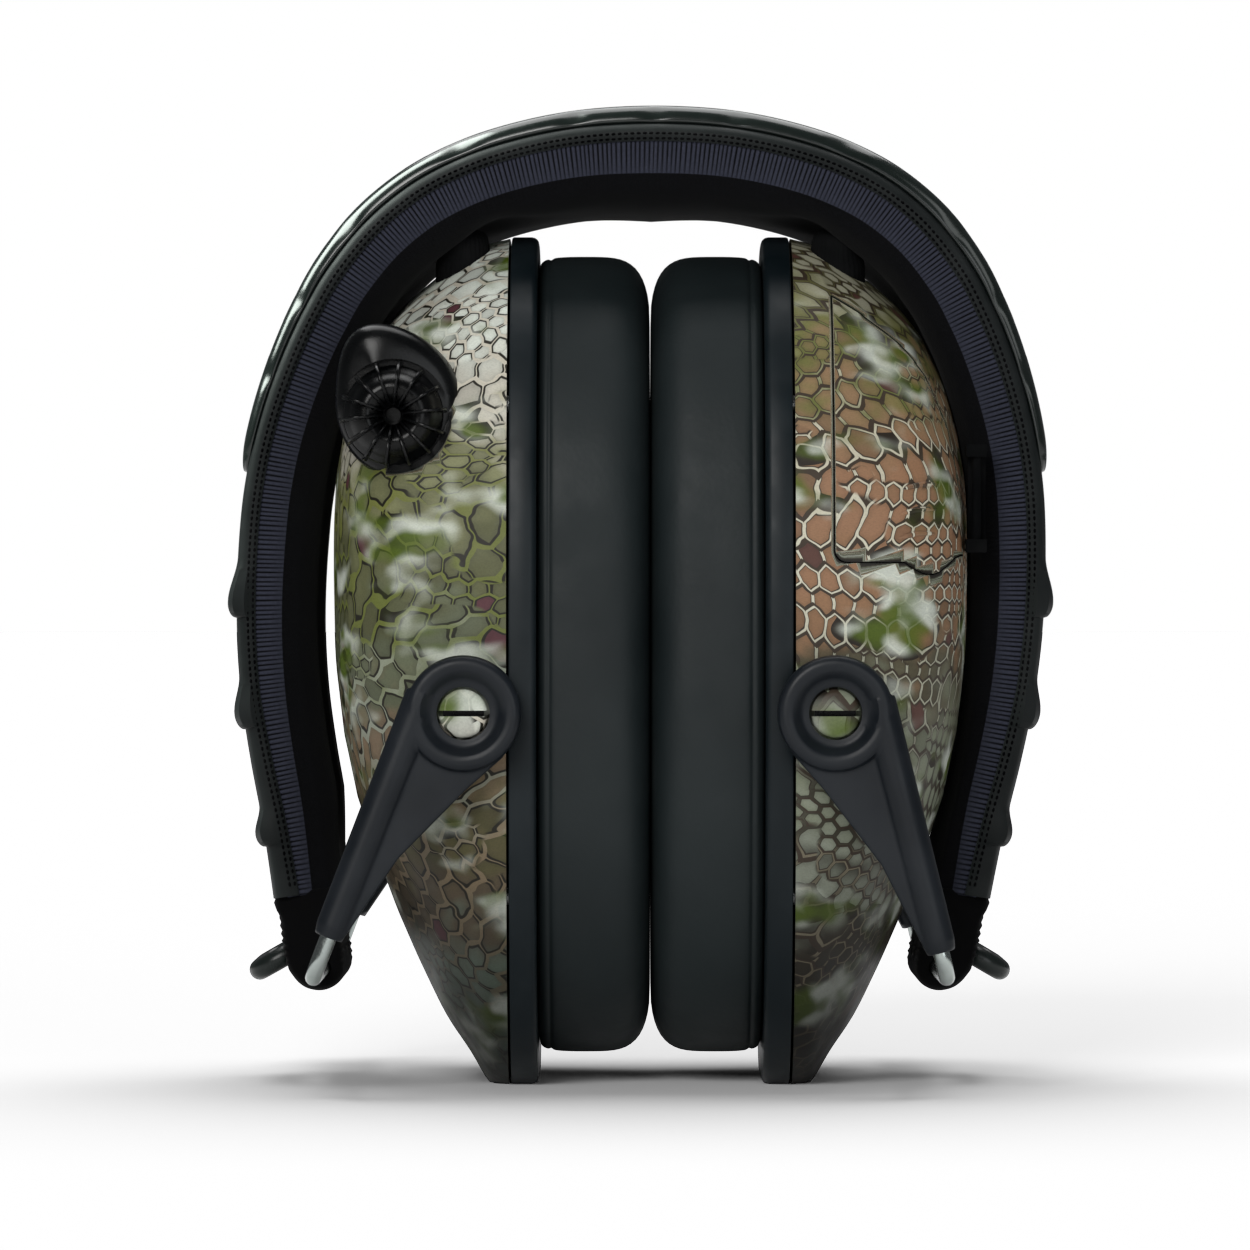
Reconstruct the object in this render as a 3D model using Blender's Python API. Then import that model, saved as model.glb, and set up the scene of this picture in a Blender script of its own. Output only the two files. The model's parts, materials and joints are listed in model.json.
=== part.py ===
"""Folding electronic earmuff hearing protector, modelled folded and standing on its cups.

Metres in the file, millimetres in the functions.  +Z is up, the front faces -Y, and "left"
and "right" are as seen from the front.  A cup's own depth is counted outwards from the plane
in which the two cushions meet.
"""
import math

import bmesh
import bpy
import numpy as np

MM = 0.001

# Meeting plane of the cushions, and how the headband stands over the cups
CONTACT_X = 1.32
BAND_SHIFT = 0.15
BAND_SHEAR = 0.029
BAND_SHEAR_Z = 66.5

# Headband: outer face of the cover, half of it from the crown to the end (across, up)
BAND_HALF = [
    (0.0, 124.2), (9.0, 123.75), (17.0, 122.3), (24.2, 120.0), (30.8, 116.6), (36.6, 111.8),
    (41.4, 105.75), (44.3, 100.6), (46.5, 95.8), (48.4, 90.6), (49.9, 85.4), (51.0, 80.0),
    (51.7, 74.0), (52.0, 66.0), (51.8, 58.0), (51.0, 50.0), (49.6, 42.0), (47.9, 34.0),
    (46.5, 26.0), (45.1, 17.0),
]
PAD_THICKNESS = [
    (0.0, 10.9), (0.14, 9.7), (0.29, 8.2), (0.37, 7.6), (0.45, 8.1), (0.56, 8.9),
    (0.65, 8.9), (0.76, 8.1), (0.82, 7.6), (0.88, 7.8), (0.935, 8.3), (1.0, 7.4),
]
PAD_EDGE_SHARE = 0.55
PAD_HALF_WIDTH = [(0.0, 23.0), (0.35, 22.0), (0.7, 18.5), (0.95, 15.2), (1.0, 15.0)]
COVER_THICKNESS = 1.1
COVER_INSET = 1.2
BUMPER_THICKNESS = [(0.0, 2.25), (0.3, 2.1), (0.48, 1.3), (0.545, 1.0)]
BUMPER_END = 0.545
RIB_HEIGHT = 1.15
RIBS = [(68.5, 62.6, 60.6), (53.2, 48.2, 46.2), (36.4, 32.6, 30.9)]
SPRING_HALF_WIDTH = 7.0
SPRING_THICKNESS = 1.0
BAND_END = 0.945
SKIN_GAP = 0.15

# End caps, hinges and pull loops, in the headband's own halves
HINGE_ACROSS = 40.1
HINGE_Z = 15.0
CAP_HALF_WIDTH = 15.0
LOOP_RADIUS = 1.3
LOOP_OUTER = (48.4, 14.6)
LOOP_SLOPE = math.radians(30.0)
LOOP_DEPTH = 5.6
LOOP_HALF_LENGTH = 11.0
PIN_Z = 22.0

# Arms and bails
PIVOT_DEPTH = {-1: 23.72, 1: 23.28}
PIVOT_Z = 48.5
TUBE_OFFSET = 6.0
TUBE_END = 32.5
TUBE_RADIUS_TOP = 2.3
TUBE_RADIUS_END = 2.0
TUBE_Y = 43.3
RING_RADIUS = 7.3
RING_Y = (41.4, 45.6)
STUD_RADIUS = 3.05
STUD_HOLE = 3.35
STUD_LAND = 2.9
WIRE_RADIUS = 1.05
WIRE_BORE = 1.35
WIRE_TOP = 36.0
ELBOW_RADIUS = 3.0

# Cups, by depth from the contact plane
CUP_CENTRE_Z = 54.36
CUP_HALF_Z = 56.34
CUP_HALF_Y = 40.0
OUTLINE_POWER = 2.5
CUSHION_DEPTH = (0.8, 13.2)
CUSHION_HALF_Y = 37.0
CUSHION_Z = (3.8, 107.8)
EAR_HALF_Y = 19.0
EAR_Z = (24.5, 85.5)
PLATE_DEPTH = (13.5, 14.3)
BEZEL_DEPTH = (14.6, 18.1)
SHELL_RIM = 18.4
SHELL_WALL = 2.0
# depth, lowest z, highest z, half width
SHELL_LEVELS = [
    (18.4, -1.98, 110.5, 39.8), (21.0, -1.2, 109.9, 39.7), (22.9, 2.8, 109.1, 39.5),
    (26.7, 8.2, 106.5, 38.9), (30.5, 16.2, 103.3, 38.0), (33.0, 22.0, 101.0, 37.0),
    (35.5, 28.6, 97.7, 35.0), (38.2, 36.6, 92.3, 31.0), (39.9, 44.5, 86.5, 26.0),
    (40.9, 52.4, 81.0, 20.0), (41.2, 60.0, 77.0, 14.0),
]
SCREWS = [(-32.0, 25.0), (32.0, 25.0), (-30.6, 88.0), (30.6, 88.0)]
SCREW_LENGTH = 7.4
BOSS_END = 22.9
GAP = 0.3

# Volume control on the left cup
KNOB_X = -31.5
KNOB_Z = 86.4
KNOB_RADIUS = 6.9
KNOB_FINS = 14
KNOB_SEAT_Y = -34.6
KNOB_TIP_Y = -40.6
SEAT_HALF = (7.6, 9.6)
SEAT_CENTRE_Z = 88.6

# Battery door and cells in the right cup
DOOR_DEPTH = 23.3
DOOR_Y = -24.0
DOOR_Z = (67.6, 105.0)
DOOR_HINGE = (41.9, -24.9)
CELL_RADIUS = 5.25
CELL_Y = (-22.5, 22.0)
CELLS = [(30.0, 72.8), (28.0, 84.8)]
TRAY_RADIUS = 6.35

# Microphone pods
POD_DEPTH = 24.2
POD_Y = -20.0
POD_Z = 105.7
POD_LEAN = math.radians(29.0)


# ---------------------------------------------------------------- materials and objects

def material(name, colour, roughness, metallic=0.0):
    found = bpy.data.materials.get(name)
    if found:
        return found
    made = bpy.data.materials.new(name)
    made.use_nodes = True
    shader = made.node_tree.nodes["Principled BSDF"]
    shader.inputs["Base Color"].default_value = (*colour, 1.0)
    shader.inputs["Roughness"].default_value = roughness
    shader.inputs["Metallic"].default_value = metallic
    return made


def look(name):
    looks = {
        "cover": ((0.030, 0.042, 0.042), 0.45, 0.0),
        "bumper": ((0.012, 0.018, 0.016), 0.15, 0.0),
        "fabric": ((0.012, 0.012, 0.020), 0.9, 0.0),
        "steel": ((0.62, 0.66, 0.64), 0.25, 1.0),
        "arm": ((0.020, 0.027, 0.036), 0.4, 0.0),
        "shell": ((0.30, 0.24, 0.17), 0.5, 0.0),
        "bezel": ((0.010, 0.017, 0.022), 0.35, 0.0),
        "cushion": ((0.028, 0.038, 0.041), 0.5, 0.0),
        "foam": ((0.02, 0.02, 0.02), 1.0, 0.0),
        "black": ((0.006, 0.007, 0.008), 0.4, 0.0),
        "board": ((0.02, 0.16, 0.06), 0.5, 0.0),
        "cell": ((0.45, 0.46, 0.47), 0.3, 1.0),
        "brass": ((0.7, 0.5, 0.2), 0.3, 1.0),
    }
    colour, roughness, metallic = looks[name]
    return material(name, colour, roughness, metallic)


def cup_x(side, depth):
    return CONTACT_X + side * depth


def band_xz(side, across, up):
    """Headband's own half-frame to the world's X and Z."""
    return side * across + BAND_SHIFT + BAND_SHEAR * (up - BAND_SHEAR_Z), up


def finish(bm, name, look_name, smooth=0.0, origin=(0.0, 0.0, 0.0)):
    """Closes the mesh's normals outwards and links it as one named object."""
    bmesh.ops.recalc_face_normals(bm, faces=bm.faces)
    if bm.calc_volume(signed=True) < 0:
        bmesh.ops.reverse_faces(bm, faces=bm.faces)
    shift = [-c * MM for c in origin]
    bmesh.ops.scale(bm, vec=(MM, MM, MM), verts=bm.verts)
    bmesh.ops.translate(bm, vec=shift, verts=bm.verts)
    mesh = bpy.data.meshes.new(name)
    bm.to_mesh(mesh)
    bm.free()
    made = bpy.data.objects.new(name, mesh)
    made.location = [c * MM for c in origin]
    mesh.materials.append(look(look_name))
    bpy.context.scene.collection.objects.link(made)
    if smooth:
        mesh.shade_smooth()
        mesh.set_sharp_from_angle(angle=math.radians(smooth))
    return made


def combine(target, tool, operation):
    """Applies one exact boolean and throws the tool away."""
    step = target.modifiers.new("step", "BOOLEAN")
    step.operation = operation
    step.solver = "EXACT"
    step.object = tool
    bpy.context.view_layer.update()
    ready = target.evaluated_get(bpy.context.evaluated_depsgraph_get())
    mesh = bpy.data.meshes.new_from_object(ready)
    target.modifiers.remove(step)
    old = target.data
    target.data = mesh
    mesh.name = old.name
    bpy.data.meshes.remove(old)
    spent = tool.data
    bpy.data.objects.remove(tool)
    bpy.data.meshes.remove(spent)
    return target


def cut(target, *tools):
    for tool in tools:
        combine(target, tool, "DIFFERENCE")
    return target


def join(target, *tools):
    for tool in tools:
        combine(target, tool, "UNION")
    return target


def clean(target, distance=0.000005):
    """Welds slivers that a boolean left behind and keeps the faces flat."""
    bm = bmesh.new()
    bm.from_mesh(target.data)
    bmesh.ops.remove_doubles(bm, verts=bm.verts, dist=distance)
    bmesh.ops.dissolve_degenerate(bm, edges=bm.edges, dist=distance)
    bmesh.ops.triangulate(bm, faces=[f for f in bm.faces if len(f.verts) > 4])
    bmesh.ops.recalc_face_normals(bm, faces=bm.faces)
    if bm.calc_volume(signed=True) < 0:
        bmesh.ops.reverse_faces(bm, faces=bm.faces)
    bm.to_mesh(target.data)
    bm.free()
    return target


# ---------------------------------------------------------------- solids

def stack(rings, closed=False):
    """Skins closed rings of equal length.  Closed joins the last ring to the first."""
    bm = bmesh.new()
    rows = [[bm.verts.new(p) for p in ring] for ring in rings]
    count = len(rows[0])
    steps = len(rows) if closed else len(rows) - 1
    for i in range(steps):
        low = rows[i]
        high = rows[(i + 1) % len(rows)]
        for j in range(count):
            k = (j + 1) % count
            bm.faces.new((low[j], low[k], high[k], high[j]))
    if not closed:
        bm.faces.new(rows[0])
        bm.faces.new(rows[-1])
    return bm


def basis(axis):
    """Two directions square to the axis."""
    a = np.array(axis, float)
    a /= np.linalg.norm(a)
    helper = np.array((0.0, 0.0, 1.0)) if abs(a[2]) < 0.9 else np.array((1.0, 0.0, 0.0))
    u = np.cross(helper, a)
    u /= np.linalg.norm(u)
    return a, u, np.cross(a, u)


def turned(profile, base, axis, segments=32):
    """Solid of revolution: profile is (radius, height) from one end to the other."""
    a, u, v = basis(axis)
    base = np.array(base, float)
    rings = []
    for radius, height in profile:
        ring = []
        for i in range(segments):
            t = 2 * math.pi * i / segments
            ring.append(base + a * height + radius * (u * math.cos(t) + v * math.sin(t)))
        rings.append(ring)
    return stack(rings)


def rod(start, end, radius, segments=24, end_radius=None):
    start = np.array(start, float)
    end = np.array(end, float)
    length = np.linalg.norm(end - start)
    last = radius if end_radius is None else end_radius
    return turned([(radius, 0.0), (last, length)], start, end - start, segments)


def block(low, high):
    (x0, y0, z0), (x1, y1, z1) = low, high
    ring = [(x0, y0), (x1, y0), (x1, y1), (x0, y1)]
    return stack([[(x, y, z0) for x, y in ring], [(x, y, z1) for x, y in ring]])


def prism(points, y0, y1):
    """Polygon in X and Z, carried along Y."""
    return stack([[(x, y0, z) for x, z in points], [(x, y1, z) for x, z in points]])


def sweep(path, radius, segments=12, closed=False):
    """Round bar along a path, its frame carried along without twisting."""
    points = np.array(path, float)
    count = len(points)
    if closed:
        ahead = np.roll(points, -1, axis=0)
        behind = np.roll(points, 1, axis=0)
    else:
        ahead = np.vstack([points[1:], points[-1:]])
        behind = np.vstack([points[:1], points[:-1]])
    tangents = ahead - behind
    tangents /= np.linalg.norm(tangents, axis=1)[:, None]
    normal = basis(tangents[0])[1]
    rings = []
    for i in range(count):
        normal = normal - tangents[i] * np.dot(normal, tangents[i])
        normal /= np.linalg.norm(normal)
        side = np.cross(tangents[i], normal)
        ring = []
        for j in range(segments):
            t = 2 * math.pi * j / segments
            ring.append(points[i] + radius * (normal * math.cos(t) + side * math.sin(t)))
        rings.append(ring)
    return stack(rings, closed)


def arc(centre, first, second, radius, start, end, count):
    """Points on an arc in the plane of two unit directions."""
    centre = np.array(centre, float)
    first = np.array(first, float)
    second = np.array(second, float)
    made = []
    for t in np.linspace(start, end, count):
        made.append(centre + radius * (first * math.cos(t) + second * math.sin(t)))
    return made


# ---------------------------------------------------------------- headband

def smooth_line(knots, count=240):
    """Catmull-Rom line through the half outline, mirrored beyond the crown for its slope."""
    pts = np.array(knots, float)
    first = pts[1] * (-1.0, 1.0)
    last = 2 * pts[-1] - pts[-2]
    full = np.vstack([first, pts, last])
    made = []
    for i in range(1, len(full) - 2):
        p0, p1, p2, p3 = full[i - 1:i + 3]
        for t in np.linspace(0.0, 1.0, 16, endpoint=False):
            made.append(0.5 * (2 * p1 + (p2 - p0) * t + (2 * p0 - 5 * p1 + 4 * p2 - p3) * t ** 2
                               + (3 * p1 - p0 - 3 * p2 + p3) * t ** 3))
    made.append(pts[-1])
    line = np.array(made)
    length = np.r_[0.0, np.cumsum(np.linalg.norm(np.diff(line, axis=0), axis=1))]
    even = np.linspace(0.0, length[-1], count)
    return np.column_stack([np.interp(even, length, line[:, 0]), np.interp(even, length, line[:, 1])])


HALF_LINE = smooth_line(BAND_HALF)


def read(table, share):
    xs, ys = zip(*table)
    return float(np.interp(share, xs, ys))


def band_at(share, inwards):
    """Point at a share of the half length (negative on the left), moved inwards from the cover."""
    side = -1 if share < 0 else 1
    place = min(abs(share), 1.0) * (len(HALF_LINE) - 1)
    i = min(int(place), len(HALF_LINE) - 2)
    here = HALF_LINE[i] + (HALF_LINE[i + 1] - HALF_LINE[i]) * (place - i)
    before = HALF_LINE[max(i - 3, 0)]
    after = HALF_LINE[min(i + 4, len(HALF_LINE) - 1)]
    if i < 3:
        before = HALF_LINE[3 - i] * (-1.0, 1.0)
    along = (after - before) / np.linalg.norm(after - before)
    if abs(share) < 1e-9:
        along = np.array((1.0, 0.0))
    inner = here + inwards * np.array((along[1], -along[0]))
    x, z = band_xz(side, inner[0], inner[1])
    return x, z


def share_at(z):
    """Share of the half length at a height on the side."""
    order = np.argsort(HALF_LINE[:, 1])
    place = np.interp(z, HALF_LINE[order, 1], order)
    return place / (len(HALF_LINE) - 1)


def layer(sections):
    """Skins a headband layer: each section is (share, [(y, inwards), ...])."""
    rings = []
    for share, outline in sections:
        ring = []
        for y, inwards in outline:
            x, z = band_at(share, inwards)
            ring.append((x, y, z))
        rings.append(ring)
    return stack(rings)


def rib_height(share):
    """Raised side ribs: a gentle slope above and a blunt foot below."""
    for top, crest, foot in RIBS:
        a, b, c = share_at(top), share_at(crest), share_at(foot)
        s = abs(share)
        if a < s < b:
            t = (s - a) / (b - a)
            return RIB_HEIGHT * t * t * (3 - 2 * t)
        if b <= s < c:
            t = (c - s) / (c - b)
            return RIB_HEIGHT * math.sqrt(max(0.0, 1 - (1 - t) ** 2))
    return 0.0


def cover_stations():
    marks = set(np.linspace(0.0, BAND_END, 25))
    for top, crest, foot in RIBS:
        a, b, c = share_at(top), share_at(crest), share_at(foot)
        marks.update(np.linspace(a, b, 4))
        marks.update(np.linspace(b, c, 5))
    ordered = []
    for m in sorted(marks):
        if not ordered or m - ordered[-1] > 0.003:
            ordered.append(m)
    ordered[-1] = BAND_END
    return [-m for m in reversed(ordered[1:])] + ordered


def make_cover():
    sections = []
    for share in cover_stations():
        half = read(PAD_HALF_WIDTH, abs(share)) - COVER_INSET
        out = -rib_height(share)
        sections.append((share, [
            (-half + 0.5, out), (half - 0.5, out), (half, out + 0.5), (half, COVER_THICKNESS),
            (-half, COVER_THICKNESS), (-half, out + 0.5)]))
    return finish(layer(sections), "headband_cover", "cover", 35)


def make_bumper():
    sections = []
    shares = np.linspace(-BUMPER_END, BUMPER_END, 47)
    for share in shares:
        left = (BUMPER_END - abs(share)) / 0.035
        ease = math.sqrt(max(0.0, 1 - (1 - min(left, 1.0)) ** 2)) if left < 1 else 1.0
        half = (read(PAD_HALF_WIDTH, abs(share)) - 3.0) * (0.86 + 0.14 * ease)
        thick = read(BUMPER_THICKNESS, abs(share)) * (0.45 + 0.55 * ease)
        base = -SKIN_GAP
        outline = [
            (-half, base), (-half, base - 0.45 * thick), (-half + 1.0, base - 0.85 * thick),
            (-half + 2.6, base - thick), (half - 2.6, base - thick),
            (half - 1.0, base - 0.85 * thick), (half, base - 0.45 * thick), (half, base)]
        sections.append((share, outline))
    return finish(layer(sections), "crown_bumper", "bumper", 35)


def pad_section(share):
    half = read(PAD_HALF_WIDTH, abs(share))
    deep = read(PAD_THICKNESS, abs(share))
    edge = deep * PAD_EDGE_SHARE
    face = COVER_THICKNESS + SKIN_GAP
    floor = face + SPRING_THICKNESS + 0.7
    slot = SPRING_HALF_WIDTH + 0.4
    outline = [(-half + 0.6, face), (-slot, face), (-slot, floor), (slot, floor), (slot, face),
               (half - 0.6, face), (half, face + 0.6)]
    for part in (1.0, 0.9, 0.65, 0.3):
        rise = math.sqrt(1 - part ** 2.4)
        outline.append((half * part, edge + (deep - edge) * rise))
    outline.append((0.0, deep))
    for part in (0.3, 0.65, 0.9, 1.0):
        rise = math.sqrt(1 - part ** 2.4)
        outline.append((-half * part, edge + (deep - edge) * rise))
    outline.append((-half, face + 0.6))
    return outline


def make_pad():
    shares = np.linspace(-BAND_END, BAND_END, 43)
    sections = [(share, pad_section(share)) for share in shares]
    return finish(layer(sections), "headband_pad", "fabric", 40)


def make_spring():
    last = share_at(19.6)
    face = COVER_THICKNESS + SKIN_GAP + 0.3
    half = SPRING_HALF_WIDTH
    sections = []
    for share in np.linspace(-last, last, 49):
        sections.append((share, [(-half, face), (half, face), (half, face + SPRING_THICKNESS),
                                 (-half, face + SPRING_THICKNESS)]))
    made = finish(layer(sections), "spring_band", "steel", 35)
    for side in (-1, 1):
        cut(made, pin_hole(side, 1.5, 34.0, 50.0))
    return clean(made)


def pin_hole(side, radius, inner, outer):
    x0, z0 = band_xz(side, inner, PIN_Z)
    x1, z1 = band_xz(side, outer, PIN_Z)
    return finish(rod((x0, 0, z0), (x1, 0, z1), radius, 20), "tool", "steel")


# ---------------------------------------------------------------- ends of the headband

def hinge_point(side):
    return band_xz(side, HINGE_ACROSS, HINGE_Z)


def loop_path(side):
    ox, oz = LOOP_OUTER
    ix = ox - LOOP_DEPTH * math.cos(LOOP_SLOPE)
    iz = oz + LOOP_DEPTH * math.sin(LOOP_SLOPE)
    outwards = np.array((ox - ix, 0.0, oz - iz)) / LOOP_DEPTH
    along = np.array((0.0, 1.0, 0.0))
    inner = np.array((ix, 0.0, iz))
    r = 2.4
    h = LOOP_HALF_LENGTH
    path = []
    corners = [((LOOP_DEPTH - r, h - r), 0.5, 0.0), ((LOOP_DEPTH - r, -(h - r)), 0.0, -0.5),
               ((r, -(h - r)), -0.5, -1.0), ((r, h - r), -1.0, -1.5)]
    for (out, up), start, end in corners:
        for t in np.linspace(start * math.pi, end * math.pi, 4):
            path.append(inner + outwards * (out + r * math.cos(t)) + along * (up + r * math.sin(t)))
    world = []
    for x, y, z in path:
        wx, wz = band_xz(side, x, z)
        world.append((wx, y, wz))
    return world


def make_pull_loop(side, name):
    return finish(sweep(loop_path(side), LOOP_RADIUS, 10, closed=True), name, "bumper", 40)


def cap_outline(side):
    """Rounded foot of the headband in X and Z, starting just under the pad and cover."""
    start = BAND_END + 0.002
    deep = read(PAD_THICKNESS, BAND_END)
    outer = band_at(side * start, 0.0)
    inner = band_at(side * start, deep * 0.97)
    foot = [(45.6, 21.5), (45.1, 17.2), (44.8, 15.2), (43.9, 13.4), (42.4, 12.4), (40.4, 12.05),
            (38.7, 12.4), (37.5, 13.5), (37.15, 15.0), (37.3, 16.8), (37.8, 19.5)]
    points = [outer]
    for across, up in foot:
        points.append(band_xz(side, across, up))
    points.append(inner)
    return points


def make_end_cap(side, name):
    outline = cap_outline(side)
    cx = sum(p[0] for p in outline) / len(outline)
    cz = sum(p[1] for p in outline) / len(outline)
    rings = []
    for y, inset in ((-1.0, 0.87), (-0.965, 0.96), (-0.9, 1.0), (0.9, 1.0), (0.965, 0.96), (1.0, 0.87)):
        ring = []
        for i, (x, z) in enumerate(outline):
            top = i in (0, len(outline) - 1)
            px = cx + (x - cx) * inset
            pz = z if top else cz + (z - cz) * inset
            ring.append((px, y * CAP_HALF_WIDTH, pz))
        rings.append(ring)
    made = finish(stack(rings), name, "fabric", 35)
    hx, hz = hinge_point(side)
    bore = finish(rod((hx, -20, hz), (hx, 20, hz), WIRE_BORE, 24), "tool", "steel")
    groove = finish(sweep(loop_path(side), LOOP_RADIUS + 0.25, 10, closed=True), "tool", "steel")
    slot = band_slot(side)
    cut(made, bore, groove, slot, pin_hole(side, 1.45, 30.0, 44.6))
    return clean(made)


def band_slot(side):
    face = COVER_THICKNESS + SKIN_GAP
    deep = face + SPRING_THICKNESS + 0.6
    half = SPRING_HALF_WIDTH + 0.3
    sections = []
    for share in (0.90, share_at(23.0), share_at(21.0), share_at(19.3)):
        sections.append((side * share, [(-half, face), (half, face), (half, deep), (-half, deep)]))
    return finish(layer(sections), "tool", "steel")


def make_band_pin(side, name):
    x0, z0 = band_xz(side, 38.7, PIN_Z)
    x1, z1 = band_xz(side, 44.3, PIN_Z)
    return finish(rod((x0, 0, z0), (x1, 0, z1), 1.15, 20), name, "steel", 35)


# ---------------------------------------------------------------- bails and arms

def pivot_point(side):
    return cup_x(side, PIVOT_DEPTH[side]), PIVOT_Z


def tube_axis(side):
    """Unit direction (x, z) of the arm's tube, from the hinge towards the pivot's height."""
    hx, hz = hinge_point(side)
    px, pz = pivot_point(side)
    inwards = (px - hx) * -side
    reach = math.hypot(inwards, pz - hz)
    angle = math.atan2(inwards, pz - hz) - math.asin(TUBE_OFFSET / reach)
    return -side * math.sin(angle), math.cos(angle)


def tube_frame(side):
    """Foot of the eyelet on the tube's axis, the axis, and the direction outwards from it."""
    ux, uz = tube_axis(side)
    px, pz = pivot_point(side)
    nx, nz = side * uz, -side * ux
    return (px + nx * TUBE_OFFSET, pz + nz * TUBE_OFFSET), (ux, uz), (nx, nz)


def on_arm(side, along, outwards):
    px, pz = pivot_point(side)
    _, (ux, uz), (nx, nz) = tube_frame(side)
    return px + ux * along + nx * outwards, pz + uz * along + nz * outwards


def make_bail(side, name):
    hx, hz = hinge_point(side)
    ux, uz = tube_axis(side)
    up = np.array((ux, 0.0, uz))
    path = []
    for end, sign in (("front", -1), ("rear", 1)):
        corner = np.array((hx, sign * (TUBE_Y - ELBOW_RADIUS), hz)) + up * ELBOW_RADIUS
        leg = np.array((hx, sign * TUBE_Y, hz)) + up * WIRE_TOP
        bend = arc(corner, (0, sign, 0), -up, ELBOW_RADIUS, 0.0, math.pi / 2, 7)
        part = [leg, leg - up * 12.0] + bend
        path += part if end == "front" else list(reversed(part))
    return finish(sweep(path, WIRE_RADIUS, 12), name, "steel", 40, origin=(hx, 0.0, hz))


def make_arm(side, front, name):
    """Eyelet ring, wire tube and the fin between them."""
    px, pz = pivot_point(side)
    y_in, y_out = front * RING_Y[0], front * RING_Y[1]
    outwards = (0.0, front, 0.0)
    depth = RING_Y[1] - RING_Y[0]
    top = on_arm(side, 1.5, TUBE_OFFSET)
    foot = on_arm(side, -TUBE_END, TUBE_OFFSET)
    tube = finish(rod((foot[0], front * TUBE_Y, foot[1]), (top[0], front * TUBE_Y, top[1]),
                      TUBE_RADIUS_END, 16, TUBE_RADIUS_TOP), name, "arm")
    fin_points = [(-TUBE_END + 1.2, TUBE_OFFSET - 1.0), (-TUBE_END + 1.2, TUBE_OFFSET - 1.75),
                  (-20.0, 0.9), (-9.0, -3.9), (-3.0, -6.6), (0.0, -6.0), (0.0, TUBE_OFFSET)]
    outline = [on_arm(side, a, b) for a, b in fin_points]
    fin = finish(prism(outline, front * 42.2, front * 44.2), "tool", "arm")
    join(tube, fin)
    well = finish(rod((px, front * 40, pz), (px, front * 47, pz), RING_RADIUS - 0.6, 28), "tool", "arm")
    cut(tube, well)
    ring_profile = [(RING_RADIUS - 0.7, 0.0), (RING_RADIUS, 0.5), (RING_RADIUS, depth - 1.1),
                    (RING_RADIUS - 0.5, depth - 0.35), (RING_RADIUS - 1.3, depth),
                    (RING_RADIUS - 2.1, depth - 0.3), (RING_RADIUS - 3.1, depth - 1.3)]
    ring = finish(turned(ring_profile, (px, y_in, pz), outwards, 28), "tool", "arm")
    join(tube, ring)
    land = finish(rod((px, y_in - front, pz), (px, y_out + front, pz), STUD_LAND, 24), "tool", "arm")
    recess = finish(rod((px, y_in + front * 1.5, pz), (px, y_out + front, pz), STUD_HOLE, 24),
                    "tool", "arm")
    low = on_arm(side, -TUBE_END - 2.0, TUBE_OFFSET)
    high = on_arm(side, WIRE_TOP - TUBE_END - 0.9 + 1.5, TUBE_OFFSET)
    bore = finish(rod((low[0], front * TUBE_Y, low[1]), (high[0], front * TUBE_Y, high[1]),
                      WIRE_BORE, 16), "tool", "arm")
    cut(tube, land, recess, bore)
    clean(tube)
    tube.data.shade_smooth()
    tube.data.set_sharp_from_angle(angle=math.radians(35))
    return set_origin(tube, (px, 0.0, pz))


def set_origin(target, origin):
    """Moves the object's origin without moving its shape."""
    shift = [c * MM for c in origin]
    for vertex in target.data.vertices:
        for i in range(3):
            vertex.co[i] -= shift[i] - target.location[i]
    target.location = shift
    return target


# ---------------------------------------------------------------- cups

def outline(centre, half_z, half_y, count=32, floor=None):
    """Rounded outline in Y and Z, cut flat at the floor where one is given."""
    made = []
    power = 2.0 / OUTLINE_POWER
    for i in range(count):
        t = 2 * math.pi * (i + 0.5) / count
        c, s = math.cos(t), math.sin(t)
        y = half_y * math.copysign(abs(c) ** power, c)
        z = centre + half_z * math.copysign(abs(s) ** power, s)
        made.append((y, z if floor is None else max(z, floor)))
    return made


def ring_of(side, depth, centre, half_z, half_y, floor=None, count=32):
    x = cup_x(side, depth)
    return [(x, y, z) for y, z in outline(centre, half_z, half_y, count, floor)]


def make_cushion(side, name):
    """Soft ring with a round face, a slightly waisted back and a straight ear opening."""
    near, far = CUSHION_DEPTH
    mid = sum(CUSHION_Z) / 2
    tall = (CUSHION_Z[1] - CUSHION_Z[0]) / 2
    ear_mid = sum(EAR_Z) / 2
    ear_tall = (EAR_Z[1] - EAR_Z[0]) / 2
    outer = [(near, 5.2), (near + 0.6, 2.7), (near + 2.0, 0.9), (near + 4.2, 0.1), (near + 8.0, 0.0),
             (far - 1.4, 0.4), (far, 1.6)]
    inner = [(far, 0.0), (near + 3.5, 0.0), (near + 1.0, 1.2), (near, 3.6)]
    rings = [ring_of(side, d, mid, tall - i, CUSHION_HALF_Y - i) for d, i in outer]
    rings += [ring_of(side, d, ear_mid, ear_tall + i, EAR_HALF_Y + i) for d, i in inner]
    return finish(stack(rings, closed=True), name, "cushion", 45)


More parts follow.
